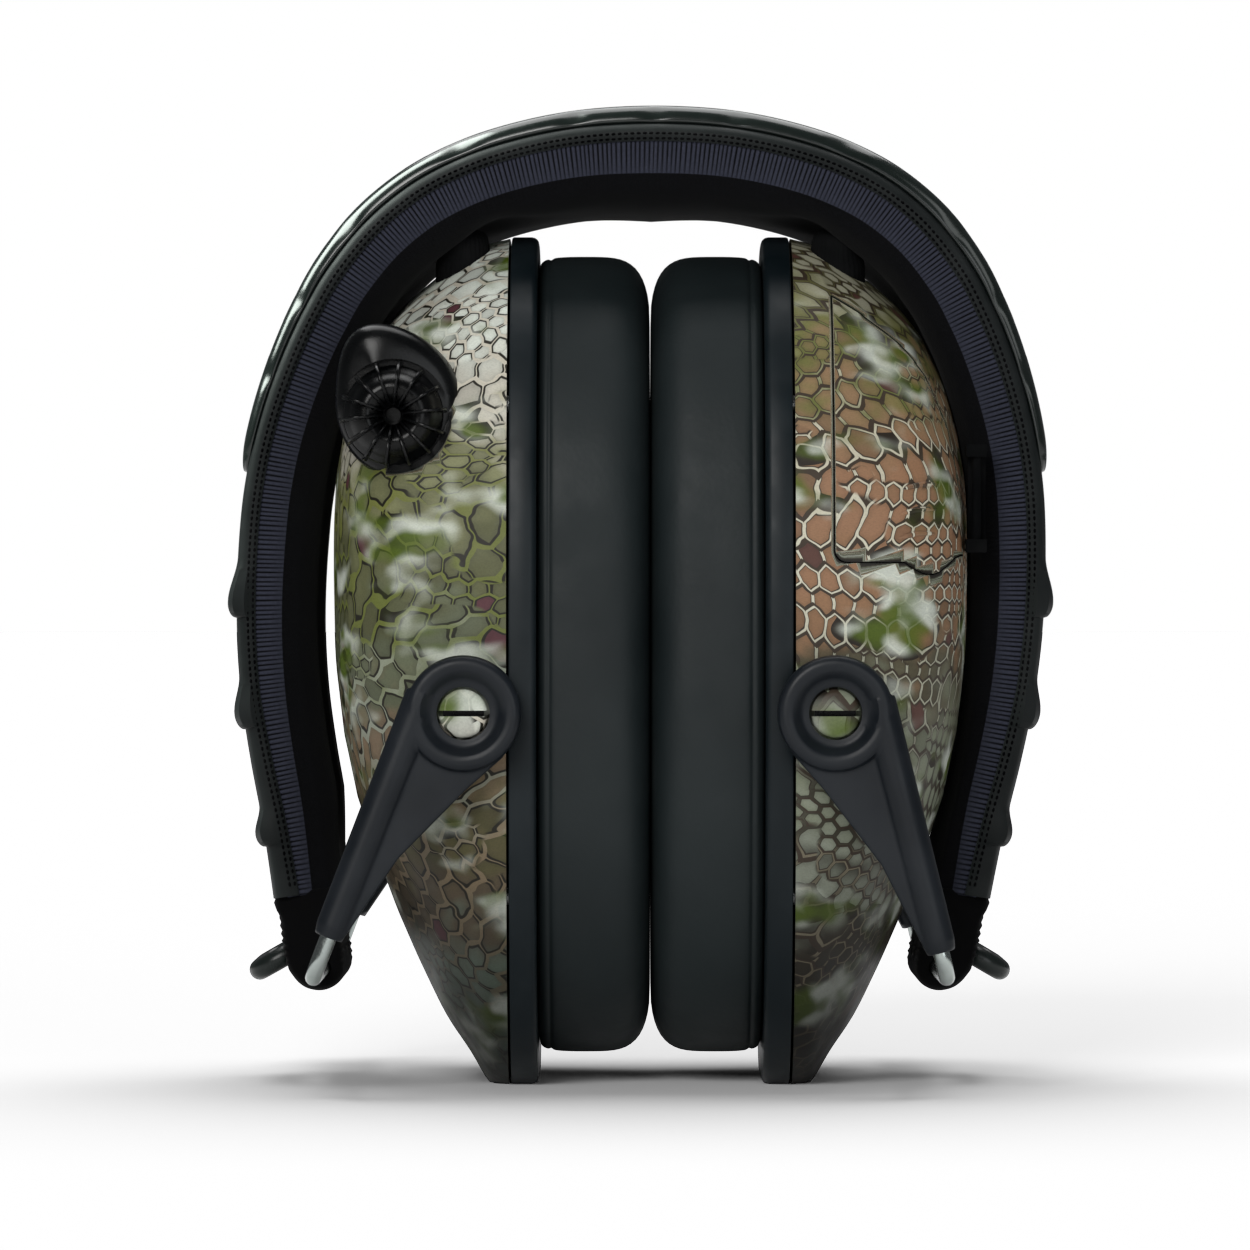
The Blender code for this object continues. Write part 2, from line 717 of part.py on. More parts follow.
def make_cushion_plate(side, name):
    near, far = PLATE_DEPTH
    mid = sum(CUSHION_Z) / 2
    tall = (CUSHION_Z[1] - CUSHION_Z[0]) / 2
    ear_mid = sum(EAR_Z) / 2
    ear_tall = (EAR_Z[1] - EAR_Z[0]) / 2
    rings = [ring_of(side, near, mid, tall - 2.5, CUSHION_HALF_Y - 2.5),
             ring_of(side, far, mid, tall - 2.5, CUSHION_HALF_Y - 2.5),
             ring_of(side, far, ear_mid, ear_tall, EAR_HALF_Y),
             ring_of(side, near, ear_mid, ear_tall, EAR_HALF_Y)]
    return finish(stack(rings, closed=True), name, "black", 35)


def along_x(side, y, z, first, last, radius, segments=16):
    return finish(rod((cup_x(side, first), y, z), (cup_x(side, last), y, z), radius, segments),
                  "tool", "steel")


def make_bezel(side, name):
    near, far = BEZEL_DEPTH
    ear_mid = sum(EAR_Z) / 2
    ear_tall = (EAR_Z[1] - EAR_Z[0]) / 2 + 1.0
    hole = EAR_HALF_Y + 1.0
    c, h, w = CUP_CENTRE_Z, CUP_HALF_Z, CUP_HALF_Y
    rings = [ring_of(side, near, c, h - 1.5, w - 1.5, 0.9), ring_of(side, near + 0.9, c, h, w, 0.0),
             ring_of(side, far, c, h, w, 0.0), ring_of(side, far, ear_mid, ear_tall, hole),
             ring_of(side, near, ear_mid, ear_tall, hole)]
    made = finish(stack(rings, closed=True), name, "bezel", 35)
    for y, z in SCREWS:
        cut(made, along_x(side, y, z, near - 1, near + 1.9, 2.7), along_x(side, y, z, near, far + 1, 1.4))
    return clean(made)


def make_screw(side, y, z, name):
    near = BEZEL_DEPTH[0]
    profile = [(2.4, 0.0), (2.4, 1.4), (1.1, 1.4), (1.1, SCREW_LENGTH)]
    start = (cup_x(side, near + 0.3), y, z)
    made = finish(turned(profile, start, (side, 0, 0), 16), name, "steel", 35)
    x0, x1 = sorted((cup_x(side, near - 0.5), cup_x(side, near + 1.0)))
    slot = finish(block((x0, y - 1.7, z - 0.35), (x1, y + 1.7, z + 0.35)), "tool", "steel")
    return clean(cut(made, slot))


def envelope(side, grow=0.0, floor=0.0):
    """Outer form of the shell as a solid, grown or shrunk by a clearance."""
    rings = []
    for depth, low, high, half in SHELL_LEVELS:
        base = floor if depth < 22.0 else None
        rings.append(ring_of(side, depth + (grow if depth > 40 else grow * 0.5), (low + high) / 2,
                             (high - low) / 2 + grow, half + grow, base))
    return rings


def make_shell(side, name):
    """Hollow cup with its two snap studs and four screw bosses."""
    outer = envelope(side)
    inner = []
    for depth, low, high, half in SHELL_LEVELS[:1] + SHELL_LEVELS[1::2] + SHELL_LEVELS[-1:]:
        top = min(max((depth - 21.0) / 17.0, 0.0), 1.0)
        drop = SHELL_WALL * top
        inset = SHELL_WALL * (1.0 - 0.45 * top)
        base = SHELL_WALL if depth < 22.0 else None
        inner.append(ring_of(side, depth - drop, (low + high) / 2, (high - low) / 2 - inset,
                             half - inset, base))
    made = finish(stack(list(reversed(inner)) + outer), name, "shell")
    bosses = []
    for y, z in SCREWS:
        post = along_x(side, y, z, SHELL_RIM + 0.02, BOSS_END, 2.9)
        combine(post, finish(stack(envelope(side, -1.0, 1.0)), "tool", "shell"), "INTERSECT")
        cut(post, along_x(side, y, z, SHELL_RIM - 1, BOSS_END + 1, 1.4))
        bosses.append(post)
    join(made, *bosses)
    px, pz = pivot_point(side)
    for front in (-1, 1):
        profile = [(STUD_RADIUS + 1.1, 0.0), (STUD_RADIUS + 1.1, 3.0), (2.6, 3.0), (2.6, 5.15),
                   (STUD_RADIUS, 5.6), (STUD_RADIUS, 6.6), (STUD_RADIUS - 0.5, 7.1)]
        stud = finish(turned(profile, (px, front * 38.1, pz), (0, front, 0), 24), "tool", "shell")
        y0, y1 = sorted((front * 42.4, front * 46.0))
        slot = finish(block((px - 4, y0, pz - 0.35), (px + 4, y1, pz + 0.35)), "tool", "shell")
        cut(stud, slot)
        join(made, stud)
    base, axis = pod_frame(side)
    tip = base + axis * 3.0
    tail = base - axis * 7.0
    cut(made, finish(rod(tail, tip, 2.0, 16), "tool", "shell"))
    return made


def pod_frame(side):
    base = np.array((cup_x(side, POD_DEPTH), POD_Y, POD_Z))
    axis = np.array((0.0, -math.sin(POD_LEAN), math.cos(POD_LEAN)))
    return base, axis


def make_pod(side, name):
    base, axis = pod_frame(side)
    profile = [(3.9, -4.0), (3.9, 0.0), (3.6, 1.5), (3.35, 3.6), (2.9, 4.6), (1.6, 5.1)]
    made = finish(turned(profile, base, axis, 20), name, "black", 40)
    cut(made, finish(stack(envelope(side, GAP)), "tool", "black"))
    well = finish(rod(base - axis * 6.0, base + axis * 3.4, 2.0, 16), "tool", "black")
    return clean(cut(made, well))


def make_capsule(side, name):
    base, axis = pod_frame(side)
    return finish(rod(base - axis * 3.5, base + axis * 3.0, 1.7, 16), name, "brass", 35)


def make_foam(side, name):
    rings = [ring_of(side, 18.5, 55.0, 45.0, 24.0), ring_of(side, 20.5, 55.0, 45.0, 24.0)]
    return finish(stack(rings), name, "foam", 35)


def make_speaker(side, name):
    profile = [(18.0, 0.0), (18.0, 1.6), (13.0, 3.2), (9.0, 3.2), (9.0, 5.6)]
    return finish(turned(profile, (cup_x(side, 20.8), 0.0, 50.0), (side, 0, 0), 32), name, "black", 35)


# ---------------------------------------------------------------- volume control, left cup

def seat_outline(grow, y):
    made = []
    for i in range(40):
        t = 2 * math.pi * i / 40
        made.append((KNOB_X + 0.2 + (SEAT_HALF[0] + grow) * math.cos(t), y,
                     SEAT_CENTRE_Z + (SEAT_HALF[1] + grow) * math.sin(t)))
    return made


def knob_pocket():
    start = (KNOB_X, KNOB_SEAT_Y + 0.3, KNOB_Z)
    return finish(rod(start, (KNOB_X, -50.0, KNOB_Z), KNOB_RADIUS + 0.5, 32), "tool", "shell")


def make_volume_seat():
    """Oval housing on the shell that carries the knob."""
    rings = [seat_outline(0.0, -24.0), seat_outline(0.0, -32.9), seat_outline(-0.5, -33.9),
             seat_outline(-1.5, KNOB_SEAT_Y + 0.25)]
    made = finish(stack(rings), "volume_seat", "black", 35)
    cut(made, finish(stack(envelope(-1, 0.12)), "tool", "black"))
    hole = finish(rod((KNOB_X, -20, KNOB_Z), (KNOB_X, -40, KNOB_Z), 1.8, 24), "tool", "black")
    return clean(cut(made, hole))


def make_knob():
    """Round skirt, domed core, radial fins and the shaft behind."""
    high = KNOB_SEAT_Y - KNOB_TIP_Y
    profile = [(1.3, -19.6), (1.3, 0.0), (KNOB_RADIUS, 0.0), (KNOB_RADIUS, 1.0),
               (KNOB_RADIUS - 0.9, 1.3), (KNOB_RADIUS - 1.5, high * 0.62),
               (KNOB_RADIUS - 3.2, high * 0.84), (1.6, high * 0.9)]
    base = (KNOB_X, KNOB_SEAT_Y, KNOB_Z)
    made = finish(turned(profile, base, (0, -1, 0), 28), "volume_knob", "black")
    for i in range(KNOB_FINS // 2):
        t = math.pi * i / (KNOB_FINS // 2) + 0.1
        along = np.array((math.cos(t), math.sin(t)))
        wide = np.array((-math.sin(t), math.cos(t)))
        rings = []
        for height, reach, thick in ((0.6, 6.7, 0.42), (high * 0.7, 5.9, 0.36), (high * 0.93, 4.3, 0.3),
                                     (high, 2.0, 0.26)):
            ring = []
            for a, b in ((-1, -1), (1, -1), (1, 1), (-1, 1)):
                x, z = along * reach * a + wide * thick * b
                ring.append((KNOB_X + x, KNOB_SEAT_Y - height, KNOB_Z + z))
            rings.append(ring)
        join(made, finish(stack(rings), "tool", "black"))
    clean(made)
    made.data.shade_smooth()
    made.data.set_sharp_from_angle(angle=math.radians(35))
    return set_origin(made, (KNOB_X, 0.0, KNOB_Z))


def make_volume_control():
    """Potentiometer body behind the knob, on the circuit board."""
    x0, x1 = sorted((cup_x(-1, 30.0), cup_x(-1, 34.9)))
    made = finish(block((x0, -20.5, KNOB_Z - 6.0), (x1, -11.0, KNOB_Z + 2.1)), "volume_control", "cell")
    hole = finish(rod((KNOB_X, -12.5, KNOB_Z), (KNOB_X, -30.0, KNOB_Z), 1.65, 24), "tool", "cell")
    return clean(cut(made, hole))


def make_board():
    x0, x1 = sorted((cup_x(-1, 28.0), cup_x(-1, 29.6)))
    return finish(block((x0, -24.0, 36.0), (x1, 24.0, 94.0)), "circuit_board", "board")


# ---------------------------------------------------------------- battery side, right cup

def door_box(grow):
    x0 = cup_x(1, DOOR_DEPTH - grow)
    low = (x0, -60.0, DOOR_Z[0] - grow)
    high = (cup_x(1, 60.0), DOOR_Y + grow, DOOR_Z[1] + grow)
    return finish(block(low, high), "tool", "shell")


def make_door(shell):
    """Front outer corner of the shell, hinged at its outer edge with a thumb latch below."""
    door = shell.copy()
    door.data = shell.data.copy()
    door.name = "battery_door"
    door.data.name = "battery_door"
    bpy.context.scene.collection.objects.link(door)
    return combine(door, door_box(0.0), "INTERSECT")


def cell(place, name):
    depth, z = place
    x = cup_x(1, depth)
    profile = [(CELL_RADIUS, 0.0), (CELL_RADIUS, 43.3), (1.9, 43.3), (1.9, 44.3)]
    return finish(turned(profile, (x, CELL_Y[0], z), (0, 1, 0), 28), name, "cell", 35)


def make_contact(hinge):
    """Plate that bridges the two cells when the door is shut, on two pegs in the door."""
    made = finish(block((cup_x(1, 25.5), -23.6, 72.0), (cup_x(1, 33.2), -23.0, 88.0)), "battery_contact",
                  "brass")
    for depth, z in ((28.0, 74.5), (28.0, 86.0)):
        x = cup_x(1, depth)
        join(made, finish(rod((x, -23.3, z), (x, -26.4, z), 1.6, 16), "tool", "brass"))
    clean(made)
    return set_origin(made, (hinge[0], hinge[1], 0.0))


def make_tray():
    """Two joined tubes, open at the front, that hold the cells."""
    tubes = []
    for depth, z in CELLS:
        x = cup_x(1, depth)
        tubes.append(finish(rod((x, -22.0, z), (x, 24.0, z), TRAY_RADIUS, 32), "battery_tray", "black"))
    made = join(*tubes)
    for depth, z in CELLS:
        x = cup_x(1, depth)
        cut(made, finish(rod((x, -23.0, z), (x, 22.6, z), CELL_RADIUS + GAP, 32), "tool", "black"))
    made.name = "battery_tray"
    return clean(made)


# ---------------------------------------------------------------- assembly

def smooth_shell(target):
    clean(target)
    target.data.shade_smooth()
    target.data.set_sharp_from_angle(angle=math.radians(30))
    return target


def make_cup(side, word):
    shell = make_shell(side, word + "_cup_shell")
    make_bezel(side, word + "_bezel")
    make_cushion_plate(side, word + "_cushion_plate")
    make_cushion(side, word + "_cushion")
    make_foam(side, word + "_foam_liner")
    make_speaker(side, word + "_speaker")
    make_pod(side, word + "_mic_pod")
    make_capsule(side, word + "_mic_capsule")
    for i, (y, z) in enumerate(SCREWS):
        make_screw(side, y, z, word + "_bezel_screw_" + str(i + 1))
    return shell


def make_side(side, word):
    make_end_cap(side, word + "_end_cap")
    make_pull_loop(side, word + "_pull_loop")
    make_band_pin(side, word + "_band_pin")
    make_bail(side, word + "_bail_wire")
    make_arm(side, -1, word + "_front_arm")
    make_arm(side, 1, word + "_rear_arm")


def make_left_controls(shell):
    pad = finish(rod((KNOB_X, -31.6, KNOB_Z), (KNOB_X, -36.0, KNOB_Z), KNOB_RADIUS + 1.9, 32), "tool", "shell")
    combine(pad, finish(stack(envelope(-1, -0.5)), "tool", "shell"), "INTERSECT")
    join(shell, pad)
    hole = finish(rod((KNOB_X, -18, KNOB_Z), (KNOB_X, -40, KNOB_Z), 1.8, 24), "tool", "shell")
    cut(shell, knob_pocket(), hole)
    make_volume_seat()
    make_knob()
    make_volume_control()
    make_board()


def make_right_battery(shell):
    """Door, its pin and latch, the tray, the cells and the bridging contact."""
    door = make_door(shell)
    cut(shell, door_box(GAP))
    hx, hy = cup_x(1, DOOR_HINGE[0]), DOOR_HINGE[1]
    knuckle_low, knuckle_high = 71.0, 81.0
    spine = finish(block((hx - 1.0, -23.1, 69.0), (hx + 1.3, -21.4, 82.9)), "door_hinge", "black")
    for low, high in ((69.0, 70.7), (81.3, 82.9)):
        lug = finish(block((hx - 1.3, -26.2, low), (hx + 1.3, -22.0, high)), "tool", "black")
        join(spine, lug)
        room = finish(block((hx - 1.7, -26.6, low - 0.3), (hx + 1.6, -21.2, high + 0.3)), "tool", "shell")
        cut(door, room)
    cut(spine, finish(stack(envelope(1, 0.2)), "tool", "shell"))
    cut(spine, finish(rod((hx, hy, 68.0), (hx, hy, 84.0), 0.9, 16), "tool", "black"))
    clean(spine)
    knuckle = finish(rod((hx, hy, knuckle_low), (hx, hy, knuckle_high), 1.5, 20), "tool", "shell")
    web = finish(block((hx - 6.5, hy - 1.2, knuckle_low), (hx, hy + 0.2, knuckle_high)), "tool", "shell")
    join(door, web, knuckle)
    pin_hole_tool = finish(rod((hx, hy, 60.0), (hx, hy, 90.0), 0.85, 16), "tool", "shell")
    cut(door, pin_hole_tool)
    smooth_shell(door)
    set_origin(door, (hx, hy, 0.0))
    finish(rod((hx, hy, 69.2), (hx, hy, 82.8), 0.6, 16), "battery_door_pin", "steel", 35)
    make_contact((hx, hy))
    make_tray()
    cell(CELLS[0], "battery_lower")
    cell(CELLS[1], "battery_upper")


def clear_scene():
    for old in list(bpy.data.objects):
        bpy.data.objects.remove(old)


def main():
    clear_scene()
    make_cover()
    make_bumper()
    make_pad()
    make_spring()
    make_side(-1, "left")
    make_side(1, "right")
    left = make_cup(-1, "left")
    right = make_cup(1, "right")
    make_left_controls(left)
    make_right_battery(right)
    smooth_shell(left)
    smooth_shell(right)


main()
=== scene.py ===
"""Appearance of the folding electronic earmuff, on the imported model's frame.

Metres in the file, millimetres in the shape functions.  The front faces -Y.
"""
import json
from math import asin, atan2, cos, exp, hypot, pi, radians, sin, sqrt

import bmesh
import bpy
import numpy as np
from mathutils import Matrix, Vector
from mathutils.kdtree import KDTree

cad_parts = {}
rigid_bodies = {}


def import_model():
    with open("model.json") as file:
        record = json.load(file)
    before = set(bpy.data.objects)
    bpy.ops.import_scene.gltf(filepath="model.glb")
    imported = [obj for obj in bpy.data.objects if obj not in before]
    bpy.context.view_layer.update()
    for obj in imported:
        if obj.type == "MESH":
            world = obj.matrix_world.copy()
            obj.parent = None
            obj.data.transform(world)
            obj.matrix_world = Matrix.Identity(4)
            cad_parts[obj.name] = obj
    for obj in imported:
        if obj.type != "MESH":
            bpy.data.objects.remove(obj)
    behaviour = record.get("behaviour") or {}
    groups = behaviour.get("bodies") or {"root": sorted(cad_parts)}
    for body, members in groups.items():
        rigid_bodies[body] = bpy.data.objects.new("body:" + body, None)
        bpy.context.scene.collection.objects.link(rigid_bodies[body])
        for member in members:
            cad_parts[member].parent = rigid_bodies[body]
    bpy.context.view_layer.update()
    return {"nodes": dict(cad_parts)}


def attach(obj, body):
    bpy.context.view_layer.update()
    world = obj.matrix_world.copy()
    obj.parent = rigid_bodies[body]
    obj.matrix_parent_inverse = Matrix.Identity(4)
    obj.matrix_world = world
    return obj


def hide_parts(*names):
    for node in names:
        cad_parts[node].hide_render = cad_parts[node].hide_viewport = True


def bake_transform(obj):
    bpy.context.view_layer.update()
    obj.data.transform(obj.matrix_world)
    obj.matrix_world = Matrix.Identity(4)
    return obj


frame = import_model()

MM = 0.001
SIDES = ((-1, "left"), (1, "right"))

# Millimetres unless said otherwise; CONTACT_X is where the cushions meet.
CONTACT_X = 1.32

# Headband: its lean, the line of the cover's base (across, up), and tables of values over
# a share of that line's length from the crown
BAND_SHIFT = 0.15
BAND_SHEAR = 0.029
BAND_SHEAR_Z = 66.5
BAND_END = 0.945
BAND_HALF = [
    (0.0, 124.2), (9.0, 123.75), (17.0, 122.3), (24.2, 120.0), (30.8, 116.6), (36.6, 111.8),
    (41.4, 105.75), (44.3, 100.6), (46.5, 95.8), (48.4, 90.6), (49.9, 85.4), (51.0, 80.0),
    (51.7, 74.0), (52.0, 66.0), (51.8, 58.0), (51.0, 50.0), (49.6, 42.0), (47.9, 34.0),
    (46.5, 26.0), (45.1, 17.0),
]
PAD_THICKNESS = [
    (0.0, 10.9), (0.14, 9.7), (0.29, 8.2), (0.37, 7.6), (0.45, 8.1), (0.56, 8.9),
    (0.65, 8.9), (0.76, 8.1), (0.82, 7.6), (0.88, 7.8), (0.935, 8.3), (1.0, 7.4),
]
PAD_HALF_WIDTH = [(0.0, 23.0), (0.35, 22.0), (0.7, 18.5), (0.95, 15.2), (1.0, 15.0)]
PAD_EDGE_LEFT = [
    (0.0, 10.4), (0.15, 10.6), (0.25, 10.3), (0.4, 10.2), (0.55, 10.9), (0.6, 11.0), (0.86, 10.8),
    (0.91, 9.6),
]
PAD_EDGE_RIGHT = [
    (0.0, 10.4), (0.15, 10.6), (0.25, 10.3), (0.4, 9.9), (0.7, 9.9), (0.78, 8.6), (0.85, 7.8),
]
PAD_WALL_DEPTH = [(0.0, 6.6), (0.3, 6.2), (0.6, 6.0), (0.85, 5.4), (1.0, 4.6)]
PAD_WALL_STEPS = (0.0, 0.06, 0.14, 0.25, 0.38, 0.52, 0.66, 0.8, 0.92, 1.0)
PAD_FACE_STEPS = (0.91, 0.86, 0.8, 0.72, 0.62, 0.5, 0.36, 0.2, 0.08)
PAD_TOP = 1.3
PLEAT_PITCH = 0.62
COVER_OUTSET = 0.45
RIB_HEIGHT = 1.15
RIBS = [(68.5, 62.6, 60.6), (53.2, 48.2, 46.2), (36.4, 32.6, 30.9)]
BUMPER_THICKNESS = [(0.0, 2.3), (0.3, 2.15), (0.48, 1.4), (0.545, 1.1)]
BUMPER_END = 0.545
BUMPER_TAPER = 0.035
STITCH_PITCH = 0.82
STITCH = ((-0.27, 0.05), (-0.18, 0.14), (0.0, 0.17), (0.18, 0.14), (0.27, 0.05))
STITCH_SIDES = 6
SPRING_END_Z = 19.6

# The band's feet, their loops, the wires and the arms
HINGE_ACROSS = 40.1
HINGE_Z = 15.0
FOOT_HALF_WIDTH = 15.0
LOOP_OUTER = (48.4, 14.6)
LOOP_SLOPE = radians(30.0)
LOOP_DEPTH = 5.6
LOOP_HALF_WIDTH = 11.0
LOOP_CORNER = 2.6
BAIL_BEND = 3.0
PIVOT_DEPTH = {-1: 23.72, 1: 23.28}
PIVOT_Z = 48.5
TUBE_OFFSET = 6.0
TUBE_END = 32.5
TUBE_Y = 43.3
RING_Y = (41.4, 45.6)

# Cups: levels are (depth from the contact plane, bottom, top, half width in Y)
CUP_POWER = 2.5
SHELL_LEVELS = [
    (18.4, -1.98, 110.5, 39.8), (21.0, -1.2, 109.9, 39.7), (22.9, 2.8, 109.1, 39.5),
    (26.7, 8.2, 106.5, 38.9), (30.5, 16.2, 103.3, 38.0), (33.0, 22.0, 101.0, 37.0),
    (35.5, 28.6, 97.7, 35.0), (38.2, 36.6, 92.3, 31.0), (39.9, 44.5, 86.5, 26.0),
    (40.9, 52.4, 81.0, 20.0), (41.2, 60.0, 77.0, 14.0),
]
SHELL_WALL = 1.7
SHELL_RIM = 18.4
CUSHION_GAP = 0.04
CUSHION_BACK = 14.5
CUSHION_MIDDLE_Z = 55.8
CUSHION_HALF = (37.6, 52.6)
KNOB_X = -31.5
KNOB_Z = 86.4
KNOB_SEAT_Y = -34.6
KNOB_TIP_Y = -40.6
KNOB_FINS = 14
POD_DEPTH = 24.2
POD_Y = -12.5
POD_Z = 107.0
POD_LEAN = radians(10.0)
POD_FLUTES = 30
CAPSULE = (-20.0, 105.7, radians(29.0))
DOOR_DEPTH = 23.3
DOOR_Y = -24.0
DOOR_Z = (67.6, 105.0)
DOOR_CORNER = 1.6
LATCH_X = 33.6

# The print, the camera that matches the photo (metres wide at 1 m) and the edge-lit pieces
PRINT_TOP = 110.0
PRINT_APEX = (0.0, 68.0)
HEX_HEIGHT = 0.8660254
SENSOR = 36.0
PHOTO_WIDTH = 0.165
EDGE_LIT = tuple(word + layer for layer in ("_cover", "_crown", "_stitches") for _, word in SIDES)


# ---- node materials

class Nodes:
    """Short calls for building a material's node tree."""

    def __init__(self, name):
        self.mat = bpy.data.materials.new(name)
        self.mat.use_nodes = True
        self.tree = self.mat.node_tree
        self.shader = self.tree.nodes["Principled BSDF"]

    def put(self, socket, value):
        """A number, a colour or another node's output into one socket."""
        if isinstance(value, bpy.types.NodeSocket):
            self.tree.links.new(value, socket)
        elif isinstance(value, tuple) and socket.type == "RGBA" and len(value) == 3:
            socket.default_value = (*value, 1.0)
        else:
            socket.default_value = value

    def add(self, kind, sockets=(), **settings):
        """A node with its settings, then values or links for some of its sockets."""
        node = self.tree.nodes.new("ShaderNode" + kind)
        for key, value in settings.items():
            setattr(node, key, value)
        for key, value in dict(sockets).items():
            self.put(node.inputs[key], value)
        return node

    def math(self, operation, a, b=0.0, c=0.0):
        return self.add("Math", {0: a, 1: b, 2: c}, operation=operation).outputs[0]

    def vector(self, operation, *values):
        node = self.add("VectorMath", enumerate(values), operation=operation)
        return node.outputs["Value" if operation == "DOT_PRODUCT" else "Vector"]

    def ramp(self, value, low, high, start=0.0, end=1.0, kind="SMOOTHSTEP"):
        """Maps low..high to start..end and holds it outside."""
        ends = {"Value": value, "From Min": low, "From Max": high, "To Min": start, "To Max": end}
        return self.add("MapRange", ends, interpolation_type=kind).outputs[0]

    def mix(self, factor, a, b, blend="MIX"):
        return self.add("Mix", {0: factor, 6: a, 7: b}, data_type="RGBA", blend_type=blend).outputs[2]

    def shade(self, colour, amount, low=0.0):
        """Darkens a colour by an amount that runs from low to full."""
        return self.mix(1.0, colour, self.mix(amount, (low,) * 3, (1.0,) * 3), "MULTIPLY")

    def place(self, scale=(1.0, 1.0, 1.0), name=None, offset=(0.0, 0.0, 0.0)):
        """Coordinates of a point: the object's own metres or a named surface attribute."""
        if name:
            out = self.add("Attribute", attribute_name=name).outputs["Vector"]
        else:
            out = self.add("TexCoord").outputs["Object"]
        return self.add("Mapping", {"Vector": out, "Scale": scale, "Location": offset}).outputs[0]

    def noise(self, place, scale, detail=2.0, rough=0.5, output="Fac"):
        sockets = {"Vector": place, "Scale": scale, "Detail": detail, "Roughness": rough}
        return self.add("TexNoise", sockets).outputs[output]

    def bump(self, height, strength, distance):
        sockets = {"Strength": strength, "Distance": distance, "Height": height}
        return self.add("Bump", sockets).outputs[0]

    def surface(self, colour, rough, metallic=0.0, normal=None, specular=0.5, sheen=()):
        sockets = {"Base Color": colour, "Roughness": rough, "Metallic": metallic,
                   "Specular IOR Level": specular, **dict(sheen)}
        if normal:
            sockets["Normal"] = normal
        for key, value in sockets.items():
            self.put(self.shader.inputs[key], value)
        return self.mat


def moulded(name, colour, rough=0.4, grain=6000.0, bump=0.12, specular=0.5, wear=0.25):
    """Moulded plastic or rubber: fine texture, uneven gloss and slightly paler wear."""
    n = Nodes(name)
    place = n.place()
    fine = n.noise(place, grain, 3.0, 0.6)
    broad = n.noise(place, 90.0, 3.0)
    pale = tuple(min(1.0, c * (1.0 + wear) + 0.004) for c in colour)
    tone = n.mix(n.ramp(broad, 0.35, 0.7), colour, pale)
    gloss = n.ramp(n.noise(place, 320.0, 4.0), 0.3, 0.75, rough * 0.88, rough * 1.15)
    return n.surface(tone, gloss, normal=n.bump(fine, bump, 0.0001), specular=specular)


def bright_metal(name, colour, rough=0.2):
    """Drawn metal with faint lengthwise scratches."""
    n = Nodes(name)
    place = n.place((1.0, 0.08, 1.0))
    lines = n.noise(place, 3500.0, 3.0)
    spots = n.noise(n.place(), 400.0, 3.0)
    tone = n.mix(n.ramp(spots, 0.3, 0.8), colour, tuple(c * 0.82 for c in colour))
    gloss = n.ramp(lines, 0.2, 0.8, rough * 0.7, rough * 1.4)
    return n.surface(tone, gloss, 1.0, n.bump(lines, 0.08, 0.00005))


def leatherette():
    """Soft coated fabric: fine pebble grain, soft sheen and slightly uneven tone."""
    n = Nodes("leatherette")
    place = n.place()
    cells = n.add("TexVoronoi", {"Vector": place, "Scale": 1500.0}, feature="SMOOTH_F1",
                  voronoi_dimensions="3D")
    fine = n.noise(place, 5200.0, 2.0)
    tone = n.mix(n.ramp(n.noise(place, 45.0, 3.0), 0.3, 0.7),
                 (0.0090, 0.0134, 0.0146), (0.0130, 0.0188, 0.0202))
    height = n.math("ADD", cells.outputs["Distance"], n.math("MULTIPLY", fine, 0.35))
    gloss = n.ramp(n.noise(place, 130.0, 3.0), 0.3, 0.7, 0.50, 0.62)
    return n.surface(tone, gloss, normal=n.bump(height, 0.16, 0.00012), specular=0.28)


def knit(name, dark, light, scale=1.0, groove=False):
    """Woven cloth: crossed rows of threads with a fuzzy tone, and painted shade darkening the folds' grooves
    if asked.
    """
    n = Nodes(name)
    split = n.add("SeparateXYZ", {0: n.place(name="skin")})
    rows = [n.math("SINE", n.math("MULTIPLY", split.outputs[i], 2 * pi / (pitch * scale)))
            for i, pitch in enumerate((0.42, 0.38))]
    fuzz = n.noise(n.place(), 2600.0, 3.0, 0.7)
    level = n.math("ADD", n.math("MULTIPLY", n.math("MULTIPLY", *rows), 0.25), fuzz)
    tone = n.mix(n.ramp(level, 0.25, 0.95), dark, light)
    if groove:
        # Painted shade: the skin's stored fold height darkens the cloth towards the floor of each fold.
        fold_shade_mask = n.ramp(split.outputs[2], 0.25, 0.95)
        tone = n.mix(fold_shade_mask, tuple(c * 0.3 for c in dark), n.mix(0.35, light, tone))
    tone = n.shade(tone, n.ramp(n.noise(n.place(), 70.0, 3.0), 0.3, 0.75, 0.8, 1.15), 0.75)
    return n.surface(tone, 0.92, normal=n.bump(level, 0.35, 0.00014), specular=0.12,
                     sheen={"Sheen Weight": 0.03, "Sheen Roughness": 0.5})


def srgb(red, green, blue):
    """Display values, 0 to 255, as the linear colour a shader takes."""
    return tuple(((v / 255 + 0.055) / 1.055) ** 2.4 if v > 10 else v / 255 / 12.92
                 for v in (red, green, blue))


def ramp_colours(n, position, stops):
    """Colours along the print's height, from (millimetres, display colour) pairs."""
    node = n.add("ValToRGB", {0: position})
    node.color_ramp.interpolation = "EASE"
    bar = node.color_ramp.elements
    while len(bar) > 1:
        bar.remove(bar[-1])
    for i, (height, colour) in enumerate(stops):
        stop = bar.new(height / PRINT_TOP) if i else bar[0]
        stop.position = height / PRINT_TOP
        stop.color = (*srgb(*colour), 1.0)
    return node.outputs["Color"]


